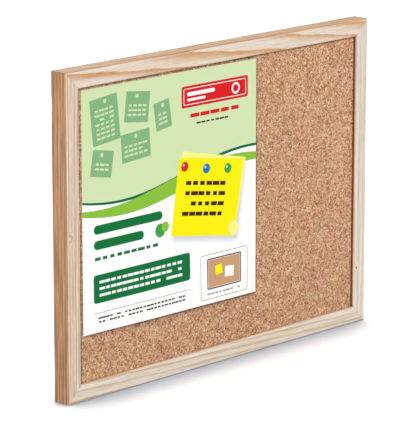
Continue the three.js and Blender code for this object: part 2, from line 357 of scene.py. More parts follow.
@dataclass(frozen=True)
class PineFinish:
    """Planed pine: rings about a tilted heart, fibres along the rail and warmer outer faces with painted
    shade.

    Attributes:
        name: The material's name.
        heart: Where the tree's heart passes the rail's middle: in from the outer face and behind the front.
        lean: How far the heart drifts across and in depth for each millimetre along the rail.
        ring: The width of one year.
        wander: How far the rings stray.
        flip: Whether the year's dark edge lies on the side of the heart.
        pale: Early wood.
        warm: Early wood in its warmer streaks.
        late: The dark edge of a year.
        outer: The outer face's tone, partly the wood's own and partly painted shade.
        outer_streak: The outer face's tone in its darker streaks, with the same painted shade.
        lip_light_and_shade: The inner edge's tone, with painted light on some sides and painted shade on
            others.
        late_share: How much of the dark edge shows.
        late_width: The share of a year that its dark edge takes up.
        streak: How strongly the fibres show.
        side_streak: How strongly they show on the outer face.
        rear_edge_shade: How bright the outer face stays towards the rear, a painted shade along the rear edge.
        fade: How much darker the rail is at its far end.
        bend: How much the heart's drift in depth changes along the rail.
        joint_shade: How far the painted shade line along the cork reaches up the inner side, and how dense it
            is.
        knots: Small knots.
        corner: From where to where, in from the outer face, its tone gives way to the front's.
        fibres: The noise of the darkest and of the lightest fibres.
        brow_shade: How much darker the front is right beside the outer face, a painted shade on the rounded
            edge.
        knot_shape: A knot's width over its length along the rail.
        knot_tone: The tone of a knot's heart.
        joint_shade_tone: The tone of the painted shade line along the cork.
    """

    name: str
    heart: Pair
    lean: Pair
    ring: float
    wander: float
    flip: bool
    pale: Colour
    warm: Colour
    late: Colour
    outer: Colour
    outer_streak: Colour
    lip_light_and_shade: Colour
    late_share: float = 1.0
    late_width: float = 0.7
    streak: float = 0.1
    side_streak: float = 0.16
    rear_edge_shade: float = 0.84
    fade: float = 0.0
    bend: float = 0.0
    joint_shade: Pair = (1.2, 0.5)
    knots: tuple[Knot, ...] = ()
    corner: Pair = (0.4, 1.3)
    fibres: Pair = (0.36, 0.64)
    brow_shade: float = 0.08
    knot_shape: float = 0.62
    knot_tone: Colour = paint(92, 62, 38)
    joint_shade_tone: Colour = paint(104, 54, 28)

    def build(self, line: RailLine, face_width: float, set_back: float) -> Material:
        """Make the material for the rail that lies on a line.

        Args:
            line: The rail's place, whose direction the grain follows.
            face_width: The rail's width from its outer face to its inner edge.
            set_back: How far behind the front face the cork lies.

        Returns:
            The pine.
        """
        graph = Graph(bpy.data.materials.new(self.name))
        place = line.coordinates(graph)
        along, across, depth = place
        late, knot_heart = self.rings(graph, place)
        broad = graph.grain(place, 0.02, 0.16)
        streak = graph.grain(place, 0.03, 0.5, 4.0, 0.66)
        fine = graph.grain(place, 0.08, 1.7, 2.0, 0.6)
        frayed = graph.grain(place, 0.05, 2.6, 3.0, 0.7)
        hair = graph.grain(place, 0.035, 6.0, 2.0, 0.6)
        late = graph.times(late, graph.smooth(frayed, 0.34, 0.62, 0.66, 1.12))
        late = graph.math("MULTIPLY", late, self.late_share, clamp=True)
        side = graph.larger(graph.smooth(broad, 0.52, 0.66), graph.times(late, 0.8))
        # The outer faces' warmer, darker tone is partly the wood's own and partly painted shade.
        outer = graph.smooth(across, *self.corner, 0.92, 0.0)
        wood = graph.layered(
            self.pale,
            (graph.smooth(broad, 0.4, 0.6), self.warm),
            (late, self.late),
            (outer, graph.blend(side, self.outer, self.outer_streak)),
            # Painted light and shade: the inner edge is lighter on some sides and darker on others for how the
            # light falls.
            (graph.smooth(across, face_width - 1.1, face_width - 0.1, 0.0, 0.85), self.lip_light_and_shade),
        )
        front, beside = (
            graph.smooth(streak, *self.fibres, 1 - contrast, 1 + 0.7 * contrast)
            for contrast in (self.streak, self.side_streak)
        )
        thick = 2 * line.half_depth
        # Painted shade along the outer face's rear edge.
        rear = graph.smooth(depth, thick - 2.6, thick - 1.0)
        rear = graph.times(rear, graph.smooth(across, 0.5, 1.5, 1.0, 0.0))
        # Painted shade on the rounded outer edge.
        brow_shade = graph.times(graph.smooth(across, 0.02, 0.2), graph.smooth(across, 0.5, 1.1, 1.0, 0.0))
        tail = graph.times(
            graph.scaled(outer, self.fade, 0.3 * self.fade), graph.smooth(along, 10.0, 0.4 * line.length)
        )
        shade = graph.times(
            graph.smooth(across, *self.corner, beside, front),
            graph.smooth(fine, 0.32, 0.68, 0.94, 1.05),
            graph.smooth(hair, 0.3, 0.7, 0.965, 1.03),
            graph.scaled(rear, self.rear_edge_shade - 1, 1.0),
            graph.scaled(brow_shade, -self.brow_shade, 1.0),
            graph.minus(1.0, tail),
        )
        # Painted shade: a dark line down the deepest part of the inner side, next to the cork.
        reach, density = self.joint_shade
        cork_line = line.half_depth - set_back
        inner_side = graph.smooth(across, face_width - 0.6, face_width - 0.2)
        middle = graph.apart(depth, line.half_depth)
        deep = graph.smooth(middle, cork_line + 0.7 * reach, cork_line + 1.3 * reach, density, 0.0)
        shade_and_knots = (graph.times(deep, inner_side), self.joint_shade_tone), (knot_heart, self.knot_tone)
        wood = graph.layered(graph.shaded(wood, shade), *shade_and_knots)
        gloss = graph.smooth(streak, *self.fibres, 0.64, 0.52)
        height = graph.scaled(hair, 0.3, graph.scaled(late, 0.3, graph.times(streak, 0.4)))
        return graph.surface(
            Base_Color=wood, Roughness=gloss, Specular_IOR_Level=0.3, Normal=graph.relief(height, 0.09, 0.7)
        )

    def rings(self, graph: Graph, place: Place) -> tuple[Socket, Value]:
        """Draw the yearly rings and the knots.

        Args:
            graph: The node tree to add to.
            place: Distances along the rail, in from the outer face and behind the front face.

        Returns:
            How much of the dark edge of a year shows, and how much of a knot's heart.
        """
        along, across, depth = place
        side = graph.minus(across, graph.scaled(along, self.lean[0], self.heart[0]))
        drift = graph.scaled(along, self.bend, self.lean[1])
        back = graph.minus(depth, graph.scaled(along, drift, self.heart[1]))
        radius = graph.math("SQRT", graph.scaled(side, side, graph.times(back, back)))
        broad = graph.minus(graph.grain(place, 0.16, 0.075, 1.0), 0.5)
        small = graph.minus(graph.grain(place, 0.2, 0.28), 0.5)
        stray = graph.scaled(small, 0.5 * self.wander, graph.scaled(broad, 2 * self.wander, radius))
        hearts: Value = 0.0
        for knot in self.knots:
            along_knot = graph.times(graph.minus(along, knot.along), self.knot_shape)
            away = graph.join(along_knot, graph.minus(across, knot.across), 0.0)
            reach = graph.vector("LENGTH", away)
            stray = graph.plus(stray, graph.smooth(reach, 0.0, 5 * knot.radius, 1.2 * self.ring, 0.0))
            heart = graph.smooth(reach, 0.55 * knot.radius, 1.25 * knot.radius, knot.strength, 0.0)
            hearts = graph.larger(hearts, heart)
        years = graph.math("DIVIDE", stray, -self.ring if self.flip else self.ring)
        uneven = graph.cloud(graph.join(years, 0.5, 0.5), 0.45, 1.0)
        share = graph.math("FRACT", graph.scaled(uneven, 0.9, years))
        rise = ((1.0, 0.0), (0.55, 0.42), (0.25, 0.86), (0.04, 1.0), (0.0, 0.0))
        stops = ((0.0, 0.0), *((1 - before * self.late_width, tone) for before, tone in rise))
        return graph.ramp(share, tuple((stop, (tone, tone, tone, 1.0)) for stop, tone in stops)), hearts


@dataclass(frozen=True)
class CorkFinish:
    """Fine agglomerated cork: granules of several sizes and tones, dark flecks of bark and gaps.

    Attributes:
        middle: The middle of the sheet in the model's axes, across and up.
        opening: The width and height of the opening in the frame.
        shaded: Where the card's shade falls on the cork.
        name: The material's name.
        granule: The mean width of a granule.
        large_granule: The width of the larger granules among them.
        fleck: The width of a fleck.
        side_joint_shade: How far the painted shade line along the stiles reaches, and how dense it is.
        rail_joint_shade: How far the painted shade line along the rails reaches, and how dense it is.
        pore: The width of the pores within a granule.
        shelter: How far off a rail or the card still shades the cork.
        sheltered: How much darker the cork is for the share of the sky that a rail or the card hides.
        darkest: How bright the cork stays at least where it is sheltered.
        climb: How much brighter the cork grows for each millimetre up, and how bright it is at the foot.
        warp: How far the granules' outlines are pushed out of place.
        layer: How closely the layers within a granule follow each other, along its three axes.
        bark: The tone of the dark flecks.
        light: The tone of the light flecks.
        joint_shade_tone: The tone of the painted shade line along the frame.
        tones: The tones of the granules, each with the share of them that is darker.
        hues: What the tones of broad patches are multiplied by.
    """

    middle: Pair
    opening: Pair
    shaded: Block
    name: str = "cork"
    granule: float = 1.45
    large_granule: float = 2.8
    fleck: float = 1.0
    side_joint_shade: Pair = (1.3, 0.9)
    rail_joint_shade: Pair = (0.9, 0.05)
    pore: float = 0.26
    shelter: float = 9.0
    sheltered: Pair = (0.15, 2.5)
    darkest: float = 0.36
    climb: Pair = (0.0003, 0.958)
    warp: float = 1.6
    layer: Point = (0.8, 1.0, 2.6)
    bark: Colour = paint(112, 64, 36)
    light: Colour = paint(247, 220, 194)
    joint_shade_tone: Colour = paint(104, 52, 26)
    tones: Stops = (
        (0.0, paint(124, 76, 46)),
        (0.08, paint(164, 108, 72)),
        (0.25, paint(198, 144, 106)),
        (0.5, paint(214, 163, 124)),
        (0.78, paint(228, 183, 145)),
        (0.92, paint(243, 205, 172)),
        (1.0, paint(253, 227, 200)),
    )
    hues: Stops = ((0.34, paint(255, 247, 252)), (0.66, paint(252, 255, 248)))

    def build(self) -> Material:
        """Make the material.

        Returns:
            The cork.
        """
        graph = Graph(bpy.data.materials.new(self.name))
        place = graph.millimetres()
        x, _, z = graph.split(place)
        push = graph.add("ShaderNodeTexNoise", {"Vector": place, "Scale": 0.55, "Detail": 2.0})
        push = graph.vector("SUBTRACT", push.outputs["Color"], (0.5, 0.5, 0.5))
        warped = graph.vector("MULTIPLY_ADD", push, (self.warp,) * 3, place)
        tones, large, fleck = (
            graph.split(graph.cells(warped, 1 / size).outputs["Color"])
            for size in (self.granule, self.large_granule, self.fleck)
        )
        cork = graph.blend(0.3, graph.ramp(tones[0], self.tones), graph.ramp(large[0], self.tones))
        cork = graph.blend(1.0, cork, graph.ramp(graph.cloud(place, 0.09), self.hues), "MULTIPLY")
        cork = graph.blend(graph.smooth(fleck[0], 0.06, 0.1, 0.75, 0.0), cork, self.bark)
        cork = graph.blend(graph.smooth(fleck[1], 0.92, 0.96, 0.0, 0.6), cork, self.light)
        seam = graph.cells(warped, 1 / self.granule, "DISTANCE_TO_EDGE").outputs["Distance"]
        gap = graph.smooth(seam, 0.0, 0.18, 0.8, 1.0)
        moved = graph.vector("MULTIPLY_ADD", graph.join(*tones), (40.0, 40.0, 40.0), warped)
        layers = graph.cloud(graph.vector("MULTIPLY", moved, self.layer), 1.5, 4.0, 0.7)
        pitted = graph.smooth(graph.cells(place, 1 / self.pore).outputs["Distance"], 0.0, 0.5, 0.82, 1.02)
        rail, card = self.sheltered
        loss = graph.scaled(self.shaded.mask(graph, x, z), rail - card, -rail)
        sheltered = graph.scaled(graph.minus(1.0, graph.clearance(self.shelter * MM, 10)), loss, 1.0)
        shade = graph.times(
            gap,
            graph.smooth(graph.cloud(place, 0.045, 3.0), 0.35, 0.65, 0.985, 1.035),
            graph.smooth(layers, 0.3, 0.7, 0.84, 1.13),
            pitted,
            graph.scaled(z, *self.climb),
            graph.larger(sheltered, self.darkest),
        )
        # Painted shade: a dark line on the cork along the frame's inner edge.
        cork = graph.blend(self.joint_shade_line(graph, x, z), graph.shaded(cork, shade), self.joint_shade_tone)
        height = graph.scaled(gap, 1.2, graph.times(tones[1], 0.3))
        height = graph.scaled(layers, 0.5, graph.scaled(pitted, 0.6, height))
        return graph.surface(
            Base_Color=cork, Roughness=0.88, Specular_IOR_Level=0.2, Normal=graph.relief(height, 0.3, 0.8)
        )

    def joint_shade_line(self, graph: Graph, across: Socket, up: Socket) -> Socket:
        """Draw the painted shade line along the frame's inner edge.

        Args:
            graph: The node tree to add to.
            across: Distance along the board in the model's axes.
            up: Height in them.

        Returns:
            How dark it is there, from 0 to 1.
        """
        lines = []
        for value, middle, span, (reach, density) in zip(
            (across, up), self.middle, self.opening, (self.side_joint_shade, self.rail_joint_shade)
        ):
            inside = graph.minus(span / 2, graph.apart(value, middle))
            lines.append(graph.smooth(inside, 0.3 * reach, reach, density, 0.0))
        return graph.larger(*lines)


@dataclass(frozen=True)
class FibreboardFinish:
    """Light wood fibreboard: matted fibres in a brown ground."""

    name: str = "fibreboard"

    def build(self) -> Material:
        """Make the material.

        Returns:
            The fibreboard.
        """
        graph = Graph(bpy.data.materials.new(self.name))
        place = graph.millimetres()
        lying = graph.vector("MULTIPLY", place, (0.4, 3.0, 0.4))
        mat = graph.cloud(lying, 2.2, 5.0, 0.7)
        stops = ((0.3, paint(112, 86, 60)), (0.55, paint(146, 117, 86)), (0.8, paint(178, 150, 117)))
        tone = graph.ramp(mat, stops)
        return graph.surface(Base_Color=tone, Roughness=0.95, Normal=graph.relief(mat, 0.2))


@dataclass(frozen=True)
class SteelFinish:
    """Zinc-plated steel: an even dull grey with fine rubbed lines.

    Attributes:
        name: The material's name.
        tint: The metal's colour.
        dull: Its colour where the plating is duller.
        roughness: Its mean roughness.
    """

    name: str
    tint: Colour
    dull: Colour
    roughness: float

    def build(self) -> Material:
        """Make the material.

        Returns:
            The steel.
        """
        graph = Graph(bpy.data.materials.new(self.name))
        place = graph.millimetres()
        bloom = graph.cloud(place, 0.35, 2.0)
        rubbed = graph.cloud(graph.vector("MULTIPLY", place, (7.0, 3.0, 0.6)), 1.8, 3.0, 0.6)
        tone = graph.blend(graph.smooth(bloom, 0.35, 0.65), self.tint, self.dull)
        rough = graph.scaled(rubbed, 0.16, self.roughness - 0.08)
        lines = graph.relief(rubbed, 0.006, 0.4)
        return graph.surface(Base_Color=tone, Metallic=1.0, Roughness=rough, Normal=lines)


class Ink(Enum):
    """The inks of the insert card, as linear colours."""

    PALE_GREEN = paint(211, 229, 179)
    MID_GREEN = paint(134, 182, 129)
    BRIGHT_GREEN = paint(138, 193, 60)
    DARK_GREEN = paint(8, 113, 57)
    RED = paint(218, 30, 32)
    BLUE = paint(32, 120, 196)
    LEAF = paint(64, 160, 74)
    YELLOW = paint(252, 240, 12)
    STRAW = paint(250, 246, 140)
    BROWN = paint(66, 32, 10)
    GREY = paint(150, 150, 152)
    BLACK = paint(48, 46, 46)
    TAN = paint(204, 158, 120)
    WHITE = paint(253, 253, 252)


@dataclass(frozen=True)
class Block:
    """A printed rectangle with round corners.

    Attributes:
        ink: Its colour.
        centre: Its middle, from the point that mask measures from.
        size: Its width and height.
        corner: The radius of its corners.
        turn: Its turn in degrees, anticlockwise.
        outline: The width of its line, or 0 where it is solid.
        blur: How soft its edge is.
        strength: How dense the ink is.
    """

    ink: Ink
    centre: Pair
    size: Pair
    corner: float = 0.0
    turn: float = 0.0
    outline: float = 0.0
    blur: float = PRINT_BLUR
    strength: float = 1.0

    def local(self, graph: Graph, across: Socket, up: Socket) -> tuple[Socket, Socket]:
        """Measure a place in the rectangle's own axes.

        Args:
            graph: The node tree to add to.
            across: Distance to the right of the point that places are measured from.
            up: Distance above it.

        Returns:
            How far along its width and along its height the place is from its middle.
        """
        cos, sin = math.cos(math.radians(self.turn)), math.sin(math.radians(self.turn))
        right = graph.minus(across, self.centre[0])
        rise = graph.minus(up, self.centre[1])
        turned_right = graph.scaled(rise, sin, graph.times(right, cos))
        turned_rise = graph.scaled(right, -sin, graph.times(rise, cos))
        return turned_right, turned_rise

    def mask(self, graph: Graph, across: Socket, up: Socket) -> Socket:
        """Say where the rectangle prints.

        Args:
            graph: The node tree to add to.
            across: Distance to the right of the point that places are measured from.
            up: Distance above it.

        Returns:
            How much ink lies there, from 0 to 1.
        """
        beyond = [
            graph.minus(graph.math("ABSOLUTE", value), length / 2 - self.corner)
            for value, length in zip(self.local(graph, across, up), self.size)
        ]
        outside = graph.join(*(graph.larger(value, 0.0) for value in beyond), 0.0)
        far = graph.vector("LENGTH", outside)
        inside = graph.math("MINIMUM", graph.larger(*beyond), 0.0)
        distance = graph.minus(graph.plus(far, inside), self.corner)
        if self.outline > 0:
            distance = graph.minus(graph.math("ABSOLUTE", distance), self.outline / 2)
        return graph.smooth(distance, -self.blur, self.blur, self.strength, 0.0)


@dataclass(frozen=True)
class Rows(Block):
    """Rows of short dashes inside a rectangle, as plain filling.

    Attributes:
        pitch: The height of one row.
        dash: The mean length of a dash.
        thick: The share of a row that the dashes fill.
    """

    pitch: float = 4.0
    dash: float = 5.0
    thick: float = 0.45

    def mask(self, graph: Graph, across: Socket, up: Socket) -> Socket:
        """Say where the dashes print.

        Args:
            graph: The node tree to add to.
            across: Distance to the right of the point that places are measured from.
            up: Distance above it.

        Returns:
            How much ink lies there, from 0 to 1.
        """
        area = super().mask(graph, across, up)
        right, rise = self.local(graph, across, up)
        row = graph.math("DIVIDE", graph.plus(rise, self.size[1] / 2), self.pitch)
        step = graph.math("DIVIDE", graph.plus(right, self.size[0] / 2), self.dash)
        line, cell = graph.math("FLOOR", row), graph.math("FLOOR", step)
        height = graph.apart(graph.minus(row, line), 0.5)
        reach = graph.apart(graph.minus(step, cell), 0.5)
        seat = graph.join(cell, graph.times(line, 3.7), self.pitch)
        draw = graph.add("ShaderNodeTexWhiteNoise", {"Vector": seat}, noise_dimensions="3D").outputs["Value"]
        half = graph.scaled(draw, 0.26, 0.26)
        soft_row, soft_dash = PRINT_BLUR / self.pitch, PRINT_BLUR / self.dash
        band = graph.smooth(height, self.thick / 2 - soft_row, self.thick / 2 + soft_row, 1.0, 0.0)
        dash = graph.smooth(graph.minus(reach, half), -soft_dash, soft_dash, 1.0, 0.0)
        whole = graph.math("LESS_THAN", cell, math.floor(self.size[0] / self.dash + 0.01) - 0.5)
        return graph.times(area, band, dash, graph.math("GREATER_THAN", draw, 0.08), whole)


@dataclass(frozen=True)
class Wave:
    """A printed field above, or a stripe along, a wavy line across the card.

    Attributes:
        ink: Its colour.
        middle: The line's mean height above the card's middle.
        swing: How far it rises and falls.
        span: The length of one wave.
        shift: How far the wave is moved to the right.
        width: The stripe's mean width, or 0 for all that is above the line.
        swell: How much the stripe's width grows and shrinks.
    """

    ink: Ink
    middle: float
    swing: float
    span: float
    shift: float
    width: float = 0.0
    swell: float = 0.0

    def mask(self, graph: Graph, across: Socket, up: Socket) -> Socket:
        """Say where the wave prints.

        Args:
            graph: The node tree to add to.
            across: Distance to the right of the point that places are measured from.
            up: Distance above it.

        Returns:
            How much ink lies there, from 0 to 1.
        """
        turn = graph.times(graph.minus(across, self.shift), 2 * math.pi / self.span)
        line = graph.scaled(graph.math("SINE", turn), self.swing, self.middle)
        above = graph.minus(up, line)
        if self.width <= 0:
            return graph.smooth(above, -PRINT_BLUR, PRINT_BLUR)
        half = graph.scaled(graph.math("COSINE", turn), self.swell / 2, self.width / 2)
        distance = graph.minus(graph.math("ABSOLUTE", above), half)
        return graph.smooth(distance, -PRINT_BLUR, PRINT_BLUR, 1.0, 0.0)


Mark = Block | Wave


def disc(ink: Ink, centre: Pair, radius: float, outline: float = 0.0) -> Block:
    """Return a printed disc, or a ring where outline gives the width of its line."""
    return Block(ink, centre, (2 * radius, 2 * radius), radius, outline=outline)


@dataclass(frozen=True)
class CardFinish:
    """Coated card with a plain generic print: colour fields, discs, a note, rows of dashes and a small board.

    Attributes:
        centre: The card's middle in the model's axes, across and up.
        marks: What is printed, from the bottom layer to the top.
        name: The material's name.
    """

    centre: Pair
    marks: tuple[Mark, ...]
    name: str = "printed_card"

    def build(self) -> Material:
        """Print the card's front.

        Returns:
            The printed card.
        """
        graph = Graph(bpy.data.materials.new(self.name))
        x, _, z = graph.split(graph.millimetres())
        across = graph.minus(x, self.centre[0])
        up = graph.minus(z, self.centre[1])
        grain = graph.cloud(graph.millimetres(), 4.0, 3.0)
        base = graph.blend(graph.smooth(grain, 0.3, 0.7), paint(252, 252, 251), paint(255, 255, 255))
        layers = ((mark.mask(graph, across, up), mark.ink.value) for mark in self.marks)
        printed = graph.layered(base, *layers)
        rough = graph.smooth(grain, 0.3, 0.7, 0.3, 0.36)
        coat = graph.relief(grain, 0.008, 0.4)
        return graph.surface(Base_Color=printed, Roughness=rough, Specular_IOR_Level=0.06, Normal=coat)


@dataclass(frozen=True)
class CardStockFinish:
    """The bare back and edges of the card: pale grey fibres."""

    name: str = "card_stock"

    def build(self) -> Material:
        """Make the material.

        Returns:
            The bare card.
        """
        graph = Graph(bpy.data.materials.new(self.name))
        fibres = graph.cloud(graph.millimetres(), 1.8, 5.0, 0.7)
        tone = graph.ramp(fibres, ((0.3, paint(205, 202, 196)), (0.7, paint(226, 224, 219))))
        return graph.surface(Base_Color=tone, Roughness=0.9, Normal=graph.relief(fibres, 0.03, 0.5))


def in_millimetres(box: tuple[Point, Point]) -> tuple[Vector, Vector]:
    """Return the lowest and the highest corner of a box that is in metres."""
    low, high = box
    return Vector(low) / MM, Vector(high) / MM


def arc(centre: Pair, radius: float, start: float, end: float, steps: int) -> Outline:
    """Return points round a part of a circle, from one angle in degrees to another."""
    turns = [math.radians(start + (end - start) * i / steps) for i in range(steps + 1)]
    return [(centre[0] + radius * math.cos(t), centre[1] + radius * math.sin(t)) for t in turns]


def loft(rings: list[list[Point]]) -> Shape:
    """Join rings to a closed body.

    Args:
        rings: Rings of equally many points, each anticlockwise as seen from the last one.

    Returns:
        The corners and the faces, turned outwards.
    """
    size = len(rings[0])
    faces = [
        (n * size + i, n * size + (i + 1) % size, (n + 1) * size + (i + 1) % size, (n + 1) * size + i)
        for n in range(len(rings) - 1)
        for i in range(size)
    ]
    faces.append(tuple(reversed(range(size))))
    faces.append(tuple(range((len(rings) - 1) * size, len(rings) * size)))
    return np.array([tuple(point) for ring in rings for point in ring], float), faces


def sweep(path: list[Vector], side: Vector, outline: Outline) -> Shape:
    """Sweep an outline along an open path that lies in one plane.

    Args:
        path: The points of the path.
        side: The unit normal of its plane.
        outline: The outline's points, anticlockwise, as distances in the plane and along its normal.

    Returns:
        The corners and the faces of a closed body.
    """
    rings = []
    for i, place in enumerate(path):
        way = (path[min(i + 1, len(path) - 1)] - path[max(i - 1, 0)]).normalized()
        flat = side.cross(way)
        rings.append([place + flat * u + side * v for u, v in outline])
    return loft(rings)


def lathe(profile: Outline, foot: Vector, sides: int = 56) -> Shape:
    """Turn a profile about a line that runs to the rear.

    Args:
        profile: Radii and how far behind the foot they lie.
        foot: A point of the line.
        sides: The number of points round it.

    Returns:
        The corners and the faces of a closed body.
    """
    turns = [2 * math.pi * i / sides for i in range(sides)]
    rings = [[foot + Vector((r * math.sin(t), h, r * math.cos(t))) for t in turns] for r, h in profile]
    return loft(rings)


def grid_faces(rows: int, columns: int) -> tuple[np.ndarray, np.ndarray]:
    """Number the faces of a grid of points.

    Args:
        rows: The number of its rows.
        columns: The number of points in a row.

    Returns:
        Its squares as the numbers of their corners, and the numbers round its rim.
    """
    grid = np.arange(rows * columns).reshape(rows, columns)
    squares = np.stack([grid[:-1, :-1], grid[:-1, 1:], grid[1:, 1:], grid[1:, :-1]], axis=-1).reshape(-1, 4)
    return squares, np.concatenate([grid[0, :-1], grid[:-1, -1], grid[-1, :0:-1], grid[:0:-1, 0]])


def band_faces(rim: np.ndarray, below: np.ndarray) -> np.ndarray:
    """Return the faces that join a rim to the one below it."""
    return np.stack([np.roll(rim, -1), rim, below, np.roll(below, -1)], axis=-1)


def carve(blank: Shape, cuts: list[tuple[str, Shape]], edge: float) -> Shape:
    """Cut a body with others and break the sharp edges that are left.

    Args:
        blank: The body to cut.
        cuts: Each the kind of cut, DIFFERENCE or INTERSECT, and the body that makes it.
        edge: The width of the broken edges.

    Returns:
        The corners and the faces of the finished body.
    """
    bodies = []
    for points, faces in (blank, *(shape for _, shape in cuts)):
        mesh = bpy.data.meshes.new("blank")
        mesh.from_pydata(points.tolist(), [], faces)
        body = bpy.data.objects.new("blank", mesh)
        bpy.context.scene.collection.objects.link(body)
        bodies.append(body)
    for (kind, _), cutter in zip(cuts, bodies[1:]):
        cut = bodies[0].modifiers.new(kind, "BOOLEAN")
        cut.operation, cut.solver, cut.object = kind, "EXACT", cutter
    bevel = bodies[0].modifiers.new("edge", "BEVEL")
    bevel.width, bevel.segments = edge, 2
    bevel.limit_method, bevel.angle_limit = "ANGLE", math.radians(40)
    mesh = bodies[0].evaluated_get(bpy.context.evaluated_depsgraph_get()).to_mesh()
    points = np.array([tuple(corner.co) for corner in mesh.vertices])
    faces = [tuple(face.vertices) for face in mesh.polygons]
    for body in bodies:
        data = body.data
        bpy.data.objects.remove(body)
        bpy.data.meshes.remove(data)
    return points, faces


def mesh_object(
    name: str, points: np.ndarray, faces: list[tuple[int, ...]], materials: list[Material], crease: float
) -> Object:
    """Make a smooth-shaded mesh piece.

    Args:
        name: The piece's name.
        points: Its corners in millimetres, one row each.
        faces: Its faces as rows of corner numbers, turned outwards.
        materials: Its materials, the first of which every face gets.
        crease: The angle in degrees past which an edge stays sharp.

    Returns:
        The new object, linked to the scene.
    """
    mesh = bpy.data.meshes.new(name)
    mesh.from_pydata((np.asarray(points, float) * MM).tolist(), [], faces)
    mesh.validate()
    mesh.polygons.foreach_set("use_smooth", [True] * len(mesh.polygons))
    mesh.set_sharp_from_angle(angle=math.radians(crease))
    for material in materials:
        mesh.materials.append(material)
    mesh.update()
    piece = bpy.data.objects.new(name, mesh)
    bpy.context.scene.collection.objects.link(piece)
    return piece


def place_piece(piece: Object, body: str, slot: str, *nodes: str) -> None:
    """Let a piece stand for nodes of the frame and move with their body.

    Args:
        piece: The new piece.
        body: The body that it rides on.
        slot: Not used.
        nodes: The nodes that it replaces.
    """
    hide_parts(*nodes)
    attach(piece, body)
    log.info("%s: %d faces on body %s", piece.name, len(piece.data.polygons), body)


@dataclass(frozen=True)
class Dent:
    """A small bruise in a rail.

    Attributes:
        along: Its place along the rail.
        depth: Its place behind the board's mid-plane.
        across: Its distance from the outer face.
        reach: Its half length, half height and half width, along, in depth and across.
        press: How deep it is.
    """

    along: float
    depth: float
    across: float
    reach: Point
    press: float


